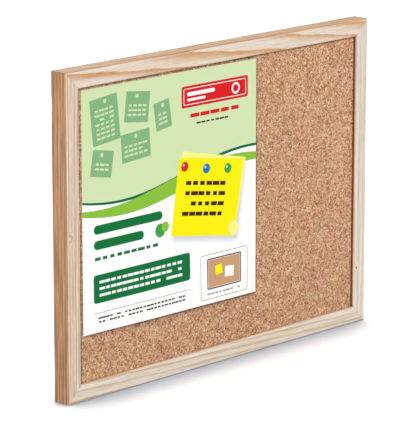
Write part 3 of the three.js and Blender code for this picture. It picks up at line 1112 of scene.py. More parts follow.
@dataclass
class Moulding:
    """The grooved moulding of the frame, with all four long edges eased.

    Attributes:
        face_width: Its width from the outer face to the inner edge.
        half_depth: Half of its depth.
        outer_radius: The radius of its two outer edges.
        inner_radius: The radius of its two inner edges.
        groove_half: Half the width of its groove.
        groove_floor: The distance from the outer face to the floor of the groove.
        mitre_gap: The gap that is left at a mitre.
        arris: How much the edges round a mitre are broken.
        station: The spacing of the mesh along the rail.
        facets: The number of facets in an eased edge.
        strips: The number of strips across a flat face.
        unevenness: How far the planed faces are from flat.
        patch: The length and the width of the patches that they are uneven in.
    """

    face_width: float
    half_depth: float
    groove_half: float
    outer_radius: float = 1.6
    inner_radius: float = 1.3
    groove_floor: float = 11.0
    mitre_gap: float = 0.06
    arris: float = 0.1
    station: float = 2.6
    facets: int = 6
    strips: int = 6
    unevenness: float = 0.05
    patch: Pair = (30.0, 7.0)

    def ease(self, depth: float, across: float, radius: float, start: float) -> Outline:
        """Return the points of a quarter round about a centre, from an angle in degrees and anticlockwise."""
        return arc((depth, across), radius, start, start + 90, self.facets)

    def strip(self, start: Pair, end: Pair) -> Outline:
        """Return the points that cut a flat face into strips, without its ends."""
        shares = [i / self.strips for i in range(1, self.strips)]
        return [(start[0] + (end[0] - start[0]) * s, start[1] + (end[1] - start[1]) * s) for s in shares]

    def section(self) -> Outline:
        """Draw the moulding's outline.

        Returns:
            The closed outline as depth and distance from the outer face, anticlockwise.
        """
        outer = self.half_depth - self.outer_radius
        inner = self.half_depth - self.inner_radius
        shoulder = self.face_width - self.inner_radius
        corners = [
            self.ease(outer, self.outer_radius, self.outer_radius, -90),
            self.ease(inner, shoulder, self.inner_radius, 0),
            [(self.groove_half, self.face_width), (self.groove_half, self.groove_floor)],
            [(-self.groove_half, self.groove_floor), (-self.groove_half, self.face_width)],
            self.ease(-inner, shoulder, self.inner_radius, 90),
            self.ease(-outer, self.outer_radius, self.outer_radius, 180),
        ]
        outline: Outline = []
        for place, points in enumerate(corners):
            following = corners[(place + 1) % len(corners)]
            outline += points
            if place in (0, 4, 5):
                outline += self.strip(points[-1], following[0])
        return outline

    @staticmethod
    def inset(outline: Outline, amount: float) -> Outline:
        """Move an outline inwards everywhere.

        Args:
            outline: The outline, anticlockwise.
            amount: How far it is moved.

        Returns:
            The smaller outline.
        """
        moved = []
        for i, (depth, across) in enumerate(outline):
            before, after = outline[i - 1], outline[(i + 1) % len(outline)]
            way = Vector((after[0] - before[0], after[1] - before[1])).normalized()
            moved.append((depth - way.y * amount, across + way.x * amount))
        return moved

    def shape(self, line: RailLine, dents: tuple[Dent, ...], seed: float) -> Shape:
        """Run the moulding along a rail and mitre both ends.

        Args:
            line: The rail's place.
            dents: Its bruises.
            seed: What sets its unevenness apart from the other rails'.

        Returns:
            The corners in millimetres and the faces.
        """
        outline = self.section()
        broken = self.inset(outline, self.arris)
        reach = line.length / 2 - self.mitre_gap / math.sqrt(2)
        count = round(2 * reach / self.station)
        shares = [-1 + 2 * i / count for i in range(count + 1)]
        stations = [(shares[0], 0.0, broken), (shares[0], self.arris, outline)]
        stations += [(share, 0.0, outline) for share in shares[1:-1]]
        stations += [(shares[-1], self.arris, outline), (shares[-1], 0.0, broken)]
        rings = []
        for share, back, ring in stations:
            places = []
            for depth, across in ring:
                along = share * (reach - across) - math.copysign(back, share)
                places.append(line.place(along, *self.worn(along, depth, across, dents, seed)))
            rings.append(places)
        return loft(rings)

    def worn(
        self, along: float, depth: float, across: float, dents: tuple[Dent, ...], seed: float
    ) -> Pair:
        """Press a point of the moulding in by its unevenness and by the dents near it.

        Args:
            along: The point's place along the rail.
            depth: Its place behind the board's mid-plane.
            across: Its distance from the outer face.
            dents: The rail's bruises.
            seed: What sets the rail's unevenness apart.

        Returns:
            The new depth and distance from the outer face.
        """
        length, width = self.patch
        spot = Vector((along / length, depth / width + seed, across / width))
        uneven = self.unevenness * (0.5 + 0.5 * noise.noise(spot))
        push = Vector((-depth / self.half_depth, 1 - across / (self.face_width / 2)))
        bare = abs(depth) > self.groove_half or across < self.groove_floor - 1
        amount = uneven if bare else 0.0
        for dent in dents:
            away = Vector((along - dent.along, depth - dent.depth, across - dent.across))
            share = sum((a / r) ** 2 for a, r in zip(away, dent.reach))
            if share < 1:
                amount += dent.press * (1 - share) ** 2
        if push.length > 0:
            push = push.normalized() * amount
        return depth + push.x, across + push.y


class Side(Enum):
    """The four sides of the frame, by the names of their nodes."""

    TOP = "top_rail"
    BOTTOM = "bottom_rail"
    LEFT = "left_stile"
    RIGHT = "right_stile"


TOP_PINE = PineFinish(
    name="pine_of_top_rail",
    heart=(-11.7, 61.15),
    lean=(0.002, 0.0354),
    bend=-0.000029,
    ring=4.1,
    wander=0.9,
    flip=True,
    pale=paint(231, 218, 206),
    warm=paint(226, 206, 182),
    late=paint(205, 149, 92),
    outer=paint(173, 132, 91),
    outer_streak=paint(148, 115, 78),
    lip_light_and_shade=paint(234, 192, 152),
    late_width=0.6,
    streak=0.09,
    side_streak=0.24,
    rear_edge_shade=0.74,
)
BOTTOM_PINE = PineFinish(
    name="pine_of_bottom_rail",
    heart=(-22.0, 46.0),
    lean=(-0.012, 0.016),
    ring=3.6,
    wander=1.3,
    flip=False,
    pale=paint(227, 217, 206),
    warm=paint(223, 208, 190),
    late=paint(203, 168, 126),
    outer=paint(204, 186, 162),
    outer_streak=paint(190, 168, 140),
    lip_light_and_shade=paint(204, 176, 146),
    late_width=0.45,
    streak=0.12,
    joint_shade=(0.8, 0.5),
)
LEFT_PINE = PineFinish(
    name="pine_of_left_stile",
    heart=(58.0, 52.0),
    lean=(0.004, -0.005),
    ring=2.5,
    wander=0.8,
    flip=False,
    pale=paint(228, 211, 192),
    warm=paint(222, 199, 176),
    late=paint(190, 158, 128),
    outer=paint(178, 131, 90),
    outer_streak=paint(145, 101, 66),
    lip_light_and_shade=paint(255, 232, 203),
    late_share=0.85,
    late_width=0.55,
    streak=0.2,
    side_streak=0.34,
    rear_edge_shade=0.5,
    fade=0.12,
    knots=(Knot(-2.0, 6.0, 1.0, 0.3),),
)
RIGHT_PINE = PineFinish(
    name="pine_of_right_stile",
    heart=(-40.0, 74.0),
    lean=(0.006, 0.006),
    ring=3.4,
    wander=0.8,
    flip=False,
    pale=paint(226, 216, 206),
    warm=paint(223, 209, 193),
    late=paint(204, 180, 150),
    outer=paint(212, 184, 154),
    outer_streak=paint(196, 164, 132),
    lip_light_and_shade=paint(194, 158, 125),
    late_share=0.7,
    late_width=0.4,
    streak=0.13,
    joint_shade=(1.9, 0.92),
    knots=(Knot(-95.0, 12.5, 0.9, 0.95),),
)


@dataclass
class PineFrame:
    """The mitred pine frame.

    Attributes:
        groove_room: The gap between the cork and the wall of the groove, which shows as a dark line.
        dents: The bruises of each side.
        finishes: The wood of each side.
    """

    groove_room: float = 0.6
    dents: dict[Side, tuple[Dent, ...]] = field(
        default_factory=lambda: {
            Side.TOP: (
                Dent(60.0, 7.0, 0.6, (4.0, 2.5, 2.0), 0.25),
                Dent(-131.0, -9.2, 5.0, (2.5, 1.6, 2.2), 0.15),
            ),
            Side.BOTTOM: (
                Dent(88.0, -9.4, 1.2, (5.0, 1.8, 1.6), 0.3),
                Dent(-20.0, 9.0, 3.0, (3.0, 1.5, 2.5), 0.2),
            ),
            Side.LEFT: (
                Dent(-124.5, 9.2, 0.3, (2.6, 2.4, 1.8), 0.55),
                Dent(-117.0, 9.2, 0.4, (4.5, 2.2, 1.6), 0.75),
                Dent(-109.0, 9.4, 0.3, (2.4, 1.8, 1.6), 0.5),
                Dent(70.0, -9.0, 0.6, (3.5, 1.6, 1.6), 0.2),
            ),
            Side.RIGHT: (Dent(-60.0, 8.8, 0.8, (4.0, 2.0, 2.0), 0.35),),
        }
    )
    finishes: dict[Side, PineFinish] = field(
        default_factory=lambda: {
            Side.TOP: TOP_PINE,
            Side.BOTTOM: BOTTOM_PINE,
            Side.LEFT: LEFT_PINE,
            Side.RIGHT: RIGHT_PINE,
        }
    )

    def lines(self) -> dict[Side, RailLine]:
        """Read the sides' places from the frame.

        Returns:
            Where each side lies.
        """
        low, high = in_millimetres(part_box(Side.LEFT.value))
        _, right = in_millimetres(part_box(Side.RIGHT.value))
        _, top = in_millimetres(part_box(Side.TOP.value))
        width, height, half = right.x - low.x, top.z, high.y
        middle = height / 2
        return {
            Side.BOTTOM: RailLine((0.0, 0.0, 0.0), (1.0, 0.0, 0.0), (0.0, 0.0, 1.0), width, half),
            Side.TOP: RailLine((0.0, 0.0, height), (-1.0, 0.0, 0.0), (0.0, 0.0, -1.0), width, half),
            Side.LEFT: RailLine((low.x, 0.0, middle), (0.0, 0.0, -1.0), (1.0, 0.0, 0.0), height, half),
            Side.RIGHT: RailLine((right.x, 0.0, middle), (0.0, 0.0, 1.0), (-1.0, 0.0, 0.0), height, half),
        }

    def moulding(self) -> Moulding:
        """Size the moulding from the frame and its panel.

        Returns:
            The moulding.
        """
        low, high = in_millimetres(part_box(Side.BOTTOM.value))
        _, cork = in_millimetres(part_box("rear_cork_sheet"))
        return Moulding(face_width=high.z - low.z, half_depth=high.y, groove_half=cork.y + self.groove_room)

    def build(self) -> None:
        """Make the four sides."""
        moulding = self.moulding()
        low, _ = in_millimetres(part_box("front_cork_sheet"))
        set_back = low.y + moulding.half_depth
        for number, (side, line) in enumerate(self.lines().items()):
            points, faces = moulding.shape(line, self.dents[side], 10.0 * number)
            pine = self.finishes[side].build(line, moulding.face_width, set_back)
            piece = mesh_object(f"pine_{side.value}", points, faces, [pine], 35)
            place_piece(piece, BOARD, "pine", side.value)


@dataclass
class CorkPanel:
    """The fibreboard core with a granular cork sheet on each side.

    Attributes:
        spacing: The spacing of a sheet's mesh.
        granule: The mean width of a granule in relief.
        seam_depth: The depth of the seams between granules.
        level_step: How far granules stand above or below each other.
        pit_depth: The depth where a granule has come out.
        pit_share: The share of granules that have come out.
        seam_width: The width of a seam, as a share of a granule's.
        shade_shift: How far the card's shade lies to the right of the card and below it.
        seed: What sets the granules.
    """

    spacing: float = 1.0
    granule: float = 1.9
    seam_depth: float = 0.08
    level_step: float = 0.05
    pit_depth: float = 0.45
    pit_share: float = 0.025
    seam_width: float = 0.35
    shade_shift: float = 6.0
    seed: int = 11

    def relief(self, across: np.ndarray, up: np.ndarray, seed: int) -> np.ndarray:
        """Work out how far below the sheet's face each point lies.

        Args:
            across: The points' distances along the board.
            up: Their heights.
            seed: What sets the granules of this sheet.

        Returns:
            The depth of each point in millimetres, never above the face.
        """
        draw = np.random.default_rng(seed)
        column = (across - across.min()) / self.granule
        row = (up - up.min()) / self.granule
        cells = (int(column.max()) + 4, int(row.max()) + 4)
        nudge = draw.random((*cells, 2))
        level = draw.random(cells)
        nearest = np.full(across.shape, np.inf)
        second = np.full(across.shape, np.inf)
        height = np.zeros(across.shape)
        for dx in (0, 1, 2):
            for dz in (0, 1, 2):
                i = column.astype(int) + dx
                j = row.astype(int) + dz
                gap = np.hypot(i - 1 + nudge[i, j, 0] - column, j - 1 + nudge[i, j, 1] - row)
                closer = gap < nearest
                second = np.where(closer, nearest, np.minimum(second, gap))
                height = np.where(closer, level[i, j], height)
                nearest = np.where(closer, gap, nearest)
        seam = np.clip((second - nearest) / self.seam_width, 0, 1)
        pit = height < self.pit_share
        deep = self.seam_depth * (1 - seam) + self.level_step * height
        return np.where(pit, self.pit_depth * np.clip(seam * 1.6, 0.2, 1), deep)

    def sheet(self, node: str, facing: int, cork: Material) -> None:
        """Make one cork sheet in relief.

        Args:
            node: The frame's node that it replaces.
            facing: -1 where it faces the front, 1 where it faces the rear.
            cork: Its material.
        """
        low, high = in_millimetres(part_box(node))
        columns = round((high.x - low.x) / self.spacing) + 1
        rows = round((high.z - low.z) / self.spacing) + 1
        across, up = np.meshgrid(np.linspace(low.x, high.x, columns), np.linspace(low.z, high.z, rows))
        deep = self.relief(across, up, self.seed + facing)
        face_y, back_y = (low.y, high.y) if facing < 0 else (high.y, low.y)
        front = np.stack([across, face_y - facing * deep, up], axis=-1).reshape(-1, 3)
        squares, rim = grid_faces(rows, columns)
        back = front[rim].copy()
        back[:, 1] = back_y
        below = np.arange(len(rim)) + rows * columns
        faces = [*np.concatenate([squares, band_faces(rim, below)]).tolist(), below[::-1].tolist()]
        if facing > 0:
            faces = [face[::-1] for face in faces]
        piece = mesh_object(f"granular_{node}", np.concatenate([front, back]), faces, [cork], 60)
        place_piece(piece, BOARD, "cork", node)

    def build(self, nodes: dict[str, Object]) -> None:
        """Make both sheets and finish the core.

        Args:
            nodes: The frame's nodes.
        """
        _, left = in_millimetres(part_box(Side.LEFT.value))
        right, _ = in_millimetres(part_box(Side.RIGHT.value))
        _, bottom = in_millimetres(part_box(Side.BOTTOM.value))
        top, _ = in_millimetres(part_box(Side.TOP.value))
        middle = ((left.x + right.x) / 2, (bottom.z + top.z) / 2)
        low, high = in_millimetres(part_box("insert_card"))
        centre = (low + high) / 2
        shift, side = self.shade_shift, high.x - low.x
        shaded = Block(Ink.BLACK, (centre.x + shift, centre.z - shift), (side, side), shift, blur=shift / 2)
        cork = CorkFinish(middle, (right.x - left.x, top.z - bottom.z), shaded).build()
        self.sheet("front_cork_sheet", -1, cork)
        self.sheet("rear_cork_sheet", 1, cork)
        dress_node(nodes["core_board"], FibreboardFinish().build())


def dress_node(node: Object, material: Material) -> None:
    """Give a node of the frame a better finish.

    Args:
        node: The node's object.
        material: The finish.
    """
    if not node.material_slots:
        node.data.materials.append(material)
    for place in node.material_slots:
        place.material = material
    log.info("%s: frame node finished as %s", node.name, material.name)


@dataclass
class InsertCard:
    """The printed card that lies loose on the front cork.

    Attributes:
        thickness: The thickness of the card.
        squares: The number of mesh squares along a side.
        bow: How far the card is from flat.
        lift: How far its right and lower edges stand off the cork.
        sharpness: How much of the lift comes close to the edges.
        trim: How much narrower and shorter the bowed card is.
        calm: How much of the lower edge's lift is left in its left corner.
        ripple: The width of the waves that it is from flat.
        skew: How much lower the right end of the lower edge lies.
        tuck: How far its lower left corner lies outwards.
    """

    thickness: float = 0.36
    squares: int = 48
    bow: float = 0.05
    lift: Pair = (2.45, 2.35)
    sharpness: float = 2.5
    trim: Pair = (3.5, 1.9)
    calm: float = 0.4
    ripple: float = 60.0
    skew: float = 1.0
    tuck: float = 0.9

    @staticmethod
    def sheet(x: float, y: float, width: float, height: float, turn: float) -> tuple[Mark, ...]:
        """Draw a note that holds as many whole rows of whole dashes as it has room for.

        Args:
            x: Its middle's distance to the right of the card's middle.
            y: Its middle's height above it.
            width: Its width.
            height: Its height.
            turn: Its turn in degrees, anticlockwise.

        Returns:
            The note, its rows and the pin that holds it.
        """
        dash, pitch = 6.0, 4.2
        area = (dash * ((width - 6.0) // dash), pitch * ((height - 12.0) // pitch))
        return (
            Block(Ink.MID_GREEN, (x, y), (width, height), 1.0, turn),
            Rows(Ink.PALE_GREEN, (x, y - 3.0), area, turn=turn, pitch=pitch, dash=dash),
            disc(Ink.PALE_GREEN, (x, y + height / 2 - 4.0), 1.9),
        )

    def marks(self) -> tuple[Mark, ...]:
        """Lay out the print.

        Returns:
            What is printed on the card, from the bottom layer to the top.
        """
        waves = (
            Wave(Ink.PALE_GREEN, 18.0, 13.0, 330.0, 18.0),
            Wave(Ink.WHITE, 18.0, 13.0, 330.0, 18.0, 4.4),
            Wave(Ink.DARK_GREEN, 18.6, 13.0, 330.0, 18.0, 2.6, 0.5),
            Wave(Ink.BRIGHT_GREEN, 9.5, 12.0, 330.0, 8.0, 9.0, 6.0),
        )
        sheets = (
            *self.sheet(-84.0, 82.0, 34.0, 42.0, 6.0),
            *self.sheet(-44.0, 88.0, 30.0, 28.0, -7.0),
            *self.sheet(-46.0, 53.0, 36.0, 26.0, 4.0),
            *self.sheet(-88.0, 43.0, 26.0, 24.0, -10.0),
            *self.sheet(-12.0, 76.0, 20.0, 26.0, 9.0),
        )
        header = (
            Block(Ink.RED, (55.0, 88.0), (86.0, 20.0), 2.0),
            Block(Ink.WHITE, (55.0, 88.0), (80.0, 14.6), 1.2, outline=0.7),
            Block(Ink.WHITE, (37.0, 90.2), (36.0, 3.6), 1.8),
            Block(Ink.WHITE, (31.0, 85.0), (24.0, 2.4), 1.2),
            disc(Ink.WHITE, (82.0, 88.0), 4.4, 1.8),
            Rows(Ink.RED, (55.0, 70.0), (65.0, 6.6), pitch=6.6, dash=13.0, thick=0.55),
            Rows(Ink.BLACK, (55.0, 62.4), (48.0, 3.2), pitch=3.2, dash=6.0, thick=0.5),
        )
        note = (
            Block(Ink.GREY, (47.5, -13.5), (85.0, 72.0), 3.0, -9.0, blur=4.5, strength=0.5),
            Block(Ink.STRAW, (47.0, -6.5), (84.0, 74.0), 1.0, -12.0),
            Block(Ink.YELLOW, (45.0, -9.0), (84.0, 72.0), 1.0, -9.0),
            Block(Ink.STRAW, (79.5, -43.5), (13.0, 13.0), 5.0, 36.0),
            Rows(Ink.BROWN, (44.0, -10.0), (60.0, 38.0), turn=-9.0, pitch=9.5, dash=9.0, thick=0.4),
        )
        heads = ((Ink.RED, 16.0, 24.0), (Ink.BLUE, 44.0, 18.0), (Ink.LEAF, 72.0, 14.0))
        pins = tuple(disc(ink, (x, y), 4.6) for ink, x, y in heads)
        pins += tuple(disc(Ink.WHITE, (x - 1.4, y + 1.6), 1.1) for _, x, y in heads)
        titles = (
            Block(Ink.DARK_GREEN, (-56.0, -16.0), (86.0, 8.2), 4.1),
            Block(Ink.DARK_GREEN, (-68.0, -30.0), (62.0, 8.2), 4.1),
            Rows(Ink.DARK_GREEN, (-56.0, -42.5), (86.0, 5.2), pitch=5.2, dash=9.0, thick=0.55),
            disc(Ink.LEAF, (-16.0, -30.0), 6.4),
            disc(Ink.BRIGHT_GREEN, (-9.5, -27.5), 4.6),
        )
        panel = (
            Block(Ink.DARK_GREEN, (-39.0, -70.0), (122.0, 26.0), 3.0),
            Rows(Ink.WHITE, (-39.0, -70.0), (108.0, 18.0), pitch=6.0, dash=7.0, thick=0.42),
            Block(Ink.GREY, (-39.0, -92.0), (122.0, 0.5), 0.0),
            Rows(Ink.BLACK, (-39.0, -98.6), (112.0, 7.2), pitch=3.6, dash=4.6, thick=0.42),
        )
        small_board = (
            Block(Ink.GREY, (67.0, -85.0), (62.0, 42.0), 3.0, outline=0.6),
            Block(Ink.TAN, (67.0, -82.6), (42.0, 26.0), 0.6),
            Block(Ink.BROWN, (67.0, -82.6), (44.0, 28.0), 1.0, outline=1.2),
            Block(Ink.YELLOW, (60.0, -80.0), (9.0, 9.0), 0.4, 8.0),
            Block(Ink.WHITE, (74.0, -84.0), (12.0, 10.0), 0.4, -5.0),
            Rows(Ink.GREY, (67.0, -101.4), (46.0, 3.2), pitch=3.2, dash=5.0, thick=0.45),
        )
        return waves + sheets + header + note + pins + titles + panel + small_board

    def build(self) -> None:
        """Make the card: a front and a back sheet of squares, joined by a rim."""
        low, high = in_millimetres(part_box("insert_card"))
        centre = (low + high) / 2
        spread = np.linspace(0, 1, self.squares + 1)
        share, rise = np.meshgrid(spread, spread)
        across = low.x + (high.x - low.x - self.trim[0]) * share
        dip = self.skew * (share - 0.4) * (1 - rise) ** 2
        up = high.z - (high.z - low.z - self.trim[1]) * (1 - rise) - dip
        spots = zip((across / self.ripple).flat, (up / self.ripple).flat)
        wave = np.array([noise.noise(Vector((x, 0, z))) for x, z in spots])
        eased = self.calm + (1 - self.calm) * np.clip(share / 0.35, 0, 1) ** 1.5
        near_foot = (1 - rise) ** self.sharpness
        curl = self.lift[0] * share**self.sharpness, self.lift[1] * near_foot * eased
        across = across - self.tuck * (1 - share) * near_foot
        stand = np.maximum(*curl) + 0.05 * np.minimum(*curl)
        middle = centre.y - stand + self.bow * np.clip(wave, -1, 1).reshape(across.shape)
        half = self.thickness / 2
        points = [np.stack([across, middle + way * half, up], axis=-1).reshape(-1, 3) for way in (-1, 1)]
        squares, rim = grid_faces(*across.shape)
        behind = squares[:, ::-1] + across.size
        edge = band_faces(rim, rim + across.size)
        faces = np.concatenate([squares, behind, edge]).tolist()
        finishes = [CardFinish((centre.x, centre.z), self.marks()).build(), CardStockFinish().build()]
        piece = mesh_object("printed_insert_card", np.concatenate(points), faces, finishes, 40)
        kinds = [0] * len(squares) + [1] * (len(behind) + len(edge))
        piece.data.polygons.foreach_set("material_index", kinds)
        place_piece(piece, "card", "printed_card", "insert_card")


@dataclass
class Staple:
    """A flat-wire staple driven across a mitre from the rear.

    Attributes:
        node: The frame's node that it replaces.
        rising: Whether its crown climbs to the right as seen in the model's X and Z.
        crown: The width over its crown.
        wire: The wire's thickness and width.
        bend: The inner radius of its bends.
        rounding: The radius of the wire's own corners.
    """

    node: str
    rising: bool
    crown: float = 11.0
    wire: Pair = (0.7, 1.2)
    bend: float = 0.3
    rounding: float = 0.2

    def build(self, steel: Material) -> None:
        """Bend the staple from its wire.

        Args:
            steel: Its material.
        """
        low, high = in_millimetres(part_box(self.node))
        thick, wide = self.wire
        middle = Vector(((low.x + high.x) / 2, high.y - thick / 2, (low.z + high.z) / 2))
        way = Vector((1, 0, 1 if self.rising else -1)).normalized()
        half, turn = (self.crown - thick) / 2, self.bend + thick / 2
        leg = low.y - middle.y
        line = [(-half, leg), (-half, leg / 2), *arc((turn - half, -turn), turn, 180, 90, 8)]
        line += [*arc((half - turn, -turn), turn, 90, 0, 8), (half, leg / 2), (half, leg)]
        path = [middle + way * s + Vector((0, h, 0)) for s, h in line]
        outline: Outline = []
        for u, v, start in ((1, 1, 0), (-1, 1, 90), (-1, -1, 180), (1, -1, 270)):
            corner = u * (thick / 2 - self.rounding), v * (wide / 2 - self.rounding)
            outline += arc(corner, self.rounding, start, start + 90, 4)
        points, faces = sweep(path, way.cross(Vector((0, 1, 0))), outline)
        piece = mesh_object(f"bent_{self.node}", points, faces, [steel], 50)
        place_piece(piece, BOARD, "staple_steel", self.node)


@dataclass
class Hanger:
    """A steel strap rolled round the bar of a wire ring, with its countersunk screw.

    Attributes:
        side: Which of the two it is, left or right.
        turn: How far the screw's cross is turned, in degrees.
        stand: The distance from the rail to the bar's line.
        roll: The outer radius of the rolled knuckle.
        bore: The radius of its bore.
        width: The strap's width.
        length: The distance from the bar's line to the strap's end.
        seam: The gap between the end of the roll and the strap.
        screw_place: The screw's distance below the bar's line.
        head: The radius of the screw's head.
        shank: The radius of its shank.
        dome: How far its head stands proud.
        reach: The screw's length.
        wire: The radius of the ring's wire.
        ring_half: Half the width of the ring between its wire's middles.
        ring_corner: The radius of the ring's upper bends.
        ring_arm: The length of its straight sides.
    """

    side: str
    turn: float
    stand: float = 2.2
    roll: float = 2.18
    bore: float = 1.0
    width: float = 8.0
    length: float = 11.8
    seam: float = 0.3
    screw_place: float = 5.0
    head: float = 2.3
    shank: float = 1.25
    dome: float = 0.4
    reach: float = 13.0
    wire: float = 0.8
    ring_half: float = 6.0
    ring_corner: float = 1.5
    ring_arm: float = 2.5

    def build(self, steel: Material) -> None:
        """Make the strap, the ring and the screw.

        Args:
            steel: Their material.
        """
        low, _ = in_millimetres(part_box(f"{self.side}_hanger_strap"))
        bar = Vector((low.x + self.width / 2, low.y + self.stand, low.z + self.length))
        seat = bar + Vector((0, -self.bore, -self.screw_place))
        for name, body, (points, faces), crease in (
            ("strap", BOARD, self.strap(bar, seat), 32),
            ("ring", f"{self.side}_ring", self.ring(bar), 50),
            ("screw", BOARD, self.screw(seat), 32),
        ):
            node = f"{self.side}_hanger_{name}"
            piece = mesh_object(f"plated_{node}", points, faces, [steel], crease)
            place_piece(piece, body, "plated_steel", node)

    def strap(self, bar: Vector, seat: Vector) -> Shape:
        """Roll the strap round the bar and drill it.

        Args:
            bar: The middle of the bar's line.
            seat: Where the screw's line passes the strap's front.

        Returns:
            The strap.
        """
        end = -math.degrees(math.acos((self.seam - self.bore) / self.roll))
        section = [(-self.roll, -self.length), (-self.bore, -self.length)]
        section += arc((0, 0), self.bore, 180, end, 60) + arc((0, 0), self.roll, end, 180, 72)
        half = self.width / 2
        beyond = 4.0  # clear of the roll, above it and behind it
        plan = [*arc((0, half - self.length), half, 180, 360, 40), (half, beyond), (-half, beyond)]
        up, right, back = Vector((0, 0, 1)), Vector((half + 1, 0, 0)), Vector((0, beyond, 0))
        blank = sweep([bar - right, bar + right], up, section)
        trim = sweep([bar - back, bar + back], up, plan)
        narrow, wide = self.shank + 0.1, self.head + 0.07
        hole = [(narrow, -3.0), (narrow, -1.0), (wide, 0.0), (wide, 1.0)]
        return carve(blank, [("INTERSECT", trim), ("DIFFERENCE", lathe(hole, seat))], 0.14)

    def ring(self, bar: Vector) -> Shape:
        """Bend the wire to a D whose ends meet inside the knuckle.

        Args:
            bar: The middle of the bar's line.

        Returns:
            The ring.
        """
        half, corner = self.ring_half, self.ring_half - self.ring_corner
        right = [(0.3, 0.0), *arc((corner, -self.ring_corner), self.ring_corner, 90, 0, 12)]
        bow = arc((0, -self.ring_corner - self.ring_arm), half, 0, -180, 60)
        left = [(-x, z) for x, z in reversed(right)]
        path = [bar + Vector((x, 0, z)) for x, z in right + bow + left]
        return sweep(path, Vector((0, 1, 0)), arc((0, 0), self.wire, 0, 345, 23))

    def screw(self, seat: Vector) -> Shape:
        """Turn the screw and press the cross into its head.

        Args:
            seat: Where the screw's line passes the strap's front.

        Returns:
            The screw.
        """
        sphere = (self.head**2 + self.dome**2) / (2 * self.dome)
        profile = [(0.1, -self.reach), (self.shank, 2.5 - self.reach), (self.shank, -1.0), (self.head, 0.0)]
        for i in range(1, 12):
            radius = self.head * (1 - i / 12)
            profile.append((radius, math.sqrt(sphere**2 - radius**2) - sphere + self.dome))
        # height, half length and half width of an arm of the cross: its floor, and its mouth above the head
        recess = ((-0.34, 0.62, 0.17), (0.7, 1.42, 0.33))
        cuts = []
        for turn in (self.turn, self.turn + 90):
            way = Vector((math.cos(math.radians(turn)), 0, math.sin(math.radians(turn))))
            side = way.cross(Vector((0, 1, 0)))
            rings = [
                [
                    seat + way * (u * length) + side * (v * width) + Vector((0, height, 0))
                    for u, v in ((-1, -1), (-1, 1), (1, 1), (1, -1))
                ]
                for height, length, width in recess
            ]
            cuts.append(("DIFFERENCE", loft(rings)))
        return carve(lathe(profile, seat), cuts, 0.05)


@dataclass
class Ironwork:
    """The corner staples and the two hangers on the rear.

    Attributes:
        staples: The staples.
        hangers: The hangers.
    """

    staples: tuple[Staple, ...] = (
        Staple("top_left_staple", True),
        Staple("top_right_staple", False),
        Staple("bottom_left_staple", False),
        Staple("bottom_right_staple", True),
    )
    hangers: tuple[Hanger, ...] = (Hanger("left", 24.0), Hanger("right", -38.0))

    def build(self) -> None:
        """Make every metal piece."""
        staple_steel = SteelFinish("staple_steel", paint(168, 168, 166), paint(146, 144, 140), 0.36).build()
        plated_steel = SteelFinish("plated_steel", paint(176, 179, 184), paint(160, 162, 166), 0.32).build()
        for staple in self.staples:
            staple.build(staple_steel)
        for hanger in self.hangers:
            hanger.build(plated_steel)


@dataclass(frozen=True)
class Lamp:
    """A distant soft lamp.

    Attributes:
        name: Its name.
        towards: The way from the board to the lamp.
        level: How bright a white face that looks at it becomes.
        spread: Its width in degrees, which softens its shadows.
        tint: Its colour.
    """

    name: str
    towards: Point
    level: float
    spread: float
    tint: Point = (1.0, 1.0, 1.0)

    def build(self) -> None:
        """Hang the lamp."""
        light = bpy.data.lights.new(self.name, "SUN")
        light.energy = self.level * math.pi
        light.angle = math.radians(self.spread)
        light.color = self.tint
        lamp = bpy.data.objects.new(self.name, light)
        lamp.rotation_euler = Vector(self.towards).to_track_quat("Z", "Y").to_euler()
        bpy.context.scene.collection.objects.link(lamp)


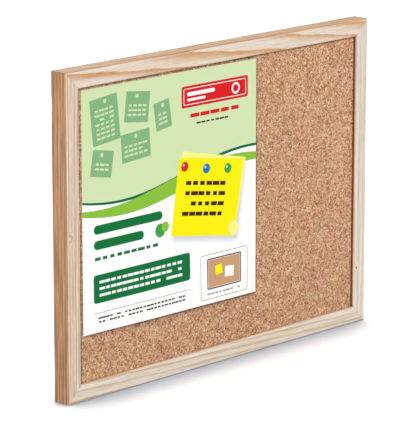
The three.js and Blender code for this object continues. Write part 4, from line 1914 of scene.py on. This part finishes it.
@dataclass(frozen=True)
class Studio:
    """The pale floor, the white surroundings and the lamps.

    Attributes:
        sky_level: How bright the surroundings light the board.
        sky_tone: The surroundings' colour.
        floor_size: The side of the floor in metres.
        floor_tone: The floor's own colour.
        floor_bounce: How much of its light the floor sends back to the board.
        floor_lift: How much the camera sees added to the floor, which clears its far part to white.
        contact_reach: How far from the board its painted contact shade reaches, in metres.
        contact_shade_tone: The colour of the painted contact shade right beside the board.
        lamps: The lamps.
    """

    sky_level: float = 0.4
    sky_tone: Colour = (0.985, 0.992, 1.0, 1.0)
    floor_size: float = 16.0
    floor_tone: float = 0.7
    floor_bounce: float = 0.35
    floor_lift: float = 0.42
    contact_reach: float = 0.07
    contact_shade_tone: Colour = paint(149, 155, 167)
    lamps: tuple[Lamp, ...] = (
        Lamp("key_lamp", (-0.745, -0.54, 0.4), 0.92, 11.0, (1.0, 0.995, 0.985)),
        Lamp("fill_lamp", (0.66, -0.64, 0.3), 0.17, 50.0),
        Lamp("overhead_lamp", (0.15, 0.13, 0.98), 0.28, 20.0),
        Lamp("rear_lamp", (0.35, 0.86, 0.36), 0.45, 40.0),
    )

    def build(self) -> None:
        """Set up the floor, the surroundings and the lamps."""
        for lamp in self.lamps:
            lamp.build()
        self.surroundings()
        self.floor()

    def surroundings(self) -> None:
        """Make the world: plain light for the board, white for the eye, for gloss and for glass."""
        graph = Graph(bpy.data.worlds.new("studio"))
        strength = graph.smooth(graph.seen(), 0.0, 1.0, self.sky_level, 1.0)
        background = graph.add("ShaderNodeBackground", {"Color": self.sky_tone, "Strength": strength})
        graph.add("ShaderNodeOutputWorld", {"Surface": background.outputs[0]})
        bpy.context.scene.world = graph.owner

    def floor(self) -> None:
        """Lay the floor, which keeps the board's shadow and has a painted contact shade where the board stands
        on it.
        """
        graph = Graph(bpy.data.materials.new("studio_floor"))
        # Painted contact shade: the floor's colour darkens where the board hides what is around it.
        clear = graph.clearance(self.contact_reach, 12)
        share = graph.times(graph.smooth(clear, 0.42, 0.84), graph.smooth(clear, 0.72, 1.0, 0.85, 1.0))
        tone = graph.blend(share, self.contact_shade_tone, CLEAN_WHITE)
        seen = graph.seen()
        plain, bounce = ((level,) * 3 + (1.0,) for level in (self.floor_tone, self.floor_bounce))
        ground = graph.blend(seen, bounce, graph.blend(1.0, tone, plain, "MULTIPLY"))
        shaded = graph.add("ShaderNodeBsdfDiffuse", {"Color": ground})
        strength = graph.times(seen, self.floor_lift)
        lift = graph.add("ShaderNodeEmission", {"Color": tone, "Strength": strength})
        both = graph.add("ShaderNodeAddShader", {0: shaded.outputs[0], 1: lift.outputs[0]})
        graph.add("ShaderNodeOutputMaterial", {"Surface": both.outputs[0]})
        half = self.floor_size / 2 / MM
        corners = np.array([(-half, -half, 0), (half, -half, 0), (half, half, 0), (-half, half, 0)])
        floor = mesh_object("studio_floor", corners, [(0, 1, 2, 3)], [graph.owner], 30)


@dataclass(frozen=True)
class Viewpoint:
    """The camera.

    Attributes:
        place: Where it stands, in metres.
        heading: How far it is turned from looking along +Y, in degrees.
        pitch: How far it looks down, in degrees.
        roll: How far it is turned about its own line, in degrees.
        focal: Its focal length in pixels of the picture.
        long_side: The picture's longer side in pixels.
        sensor: The width of its sensor in millimetres.
    """

    place: Point = (-1.8962, -1.8050, 0.7601)
    heading: float = -46.272
    pitch: float = 13.300
    roll: float = 0.039
    focal: float = 2904.1
    long_side: float = 424.0
    sensor: float = 36.0

    def build(self) -> None:
        """Set up the camera and make it the scene's own."""
        data = bpy.data.cameras.new("picture_camera")
        data.sensor_width = self.sensor
        data.lens = self.sensor * self.focal / self.long_side
        data.clip_start = 0.05
        data.clip_end = 60.0
        camera = bpy.data.objects.new("picture_camera", data)
        turn = Matrix.Rotation(math.radians(self.heading), 4, "Z")
        look = Matrix.Rotation(math.radians(90 - self.pitch), 4, "X")
        roll = Matrix.Rotation(math.radians(self.roll), 4, "Z")
        camera.matrix_world = Matrix.Translation(self.place) @ turn @ look @ roll
        bpy.context.scene.collection.objects.link(camera)
        bpy.context.scene.camera = camera


def main() -> None:
    """Load the frame, dress every piece of it and set up the studio."""
    logging.basicConfig(level=logging.INFO, format="%(message)s")
    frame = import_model()
    bpy.context.scene.view_settings.view_transform = "Standard"
    Viewpoint().build()
    PineFrame().build()
    CorkPanel().build(frame["nodes"])
    InsertCard().build()
    Ironwork().build()
    Studio().build()


if __name__ == "__main__":
    main()
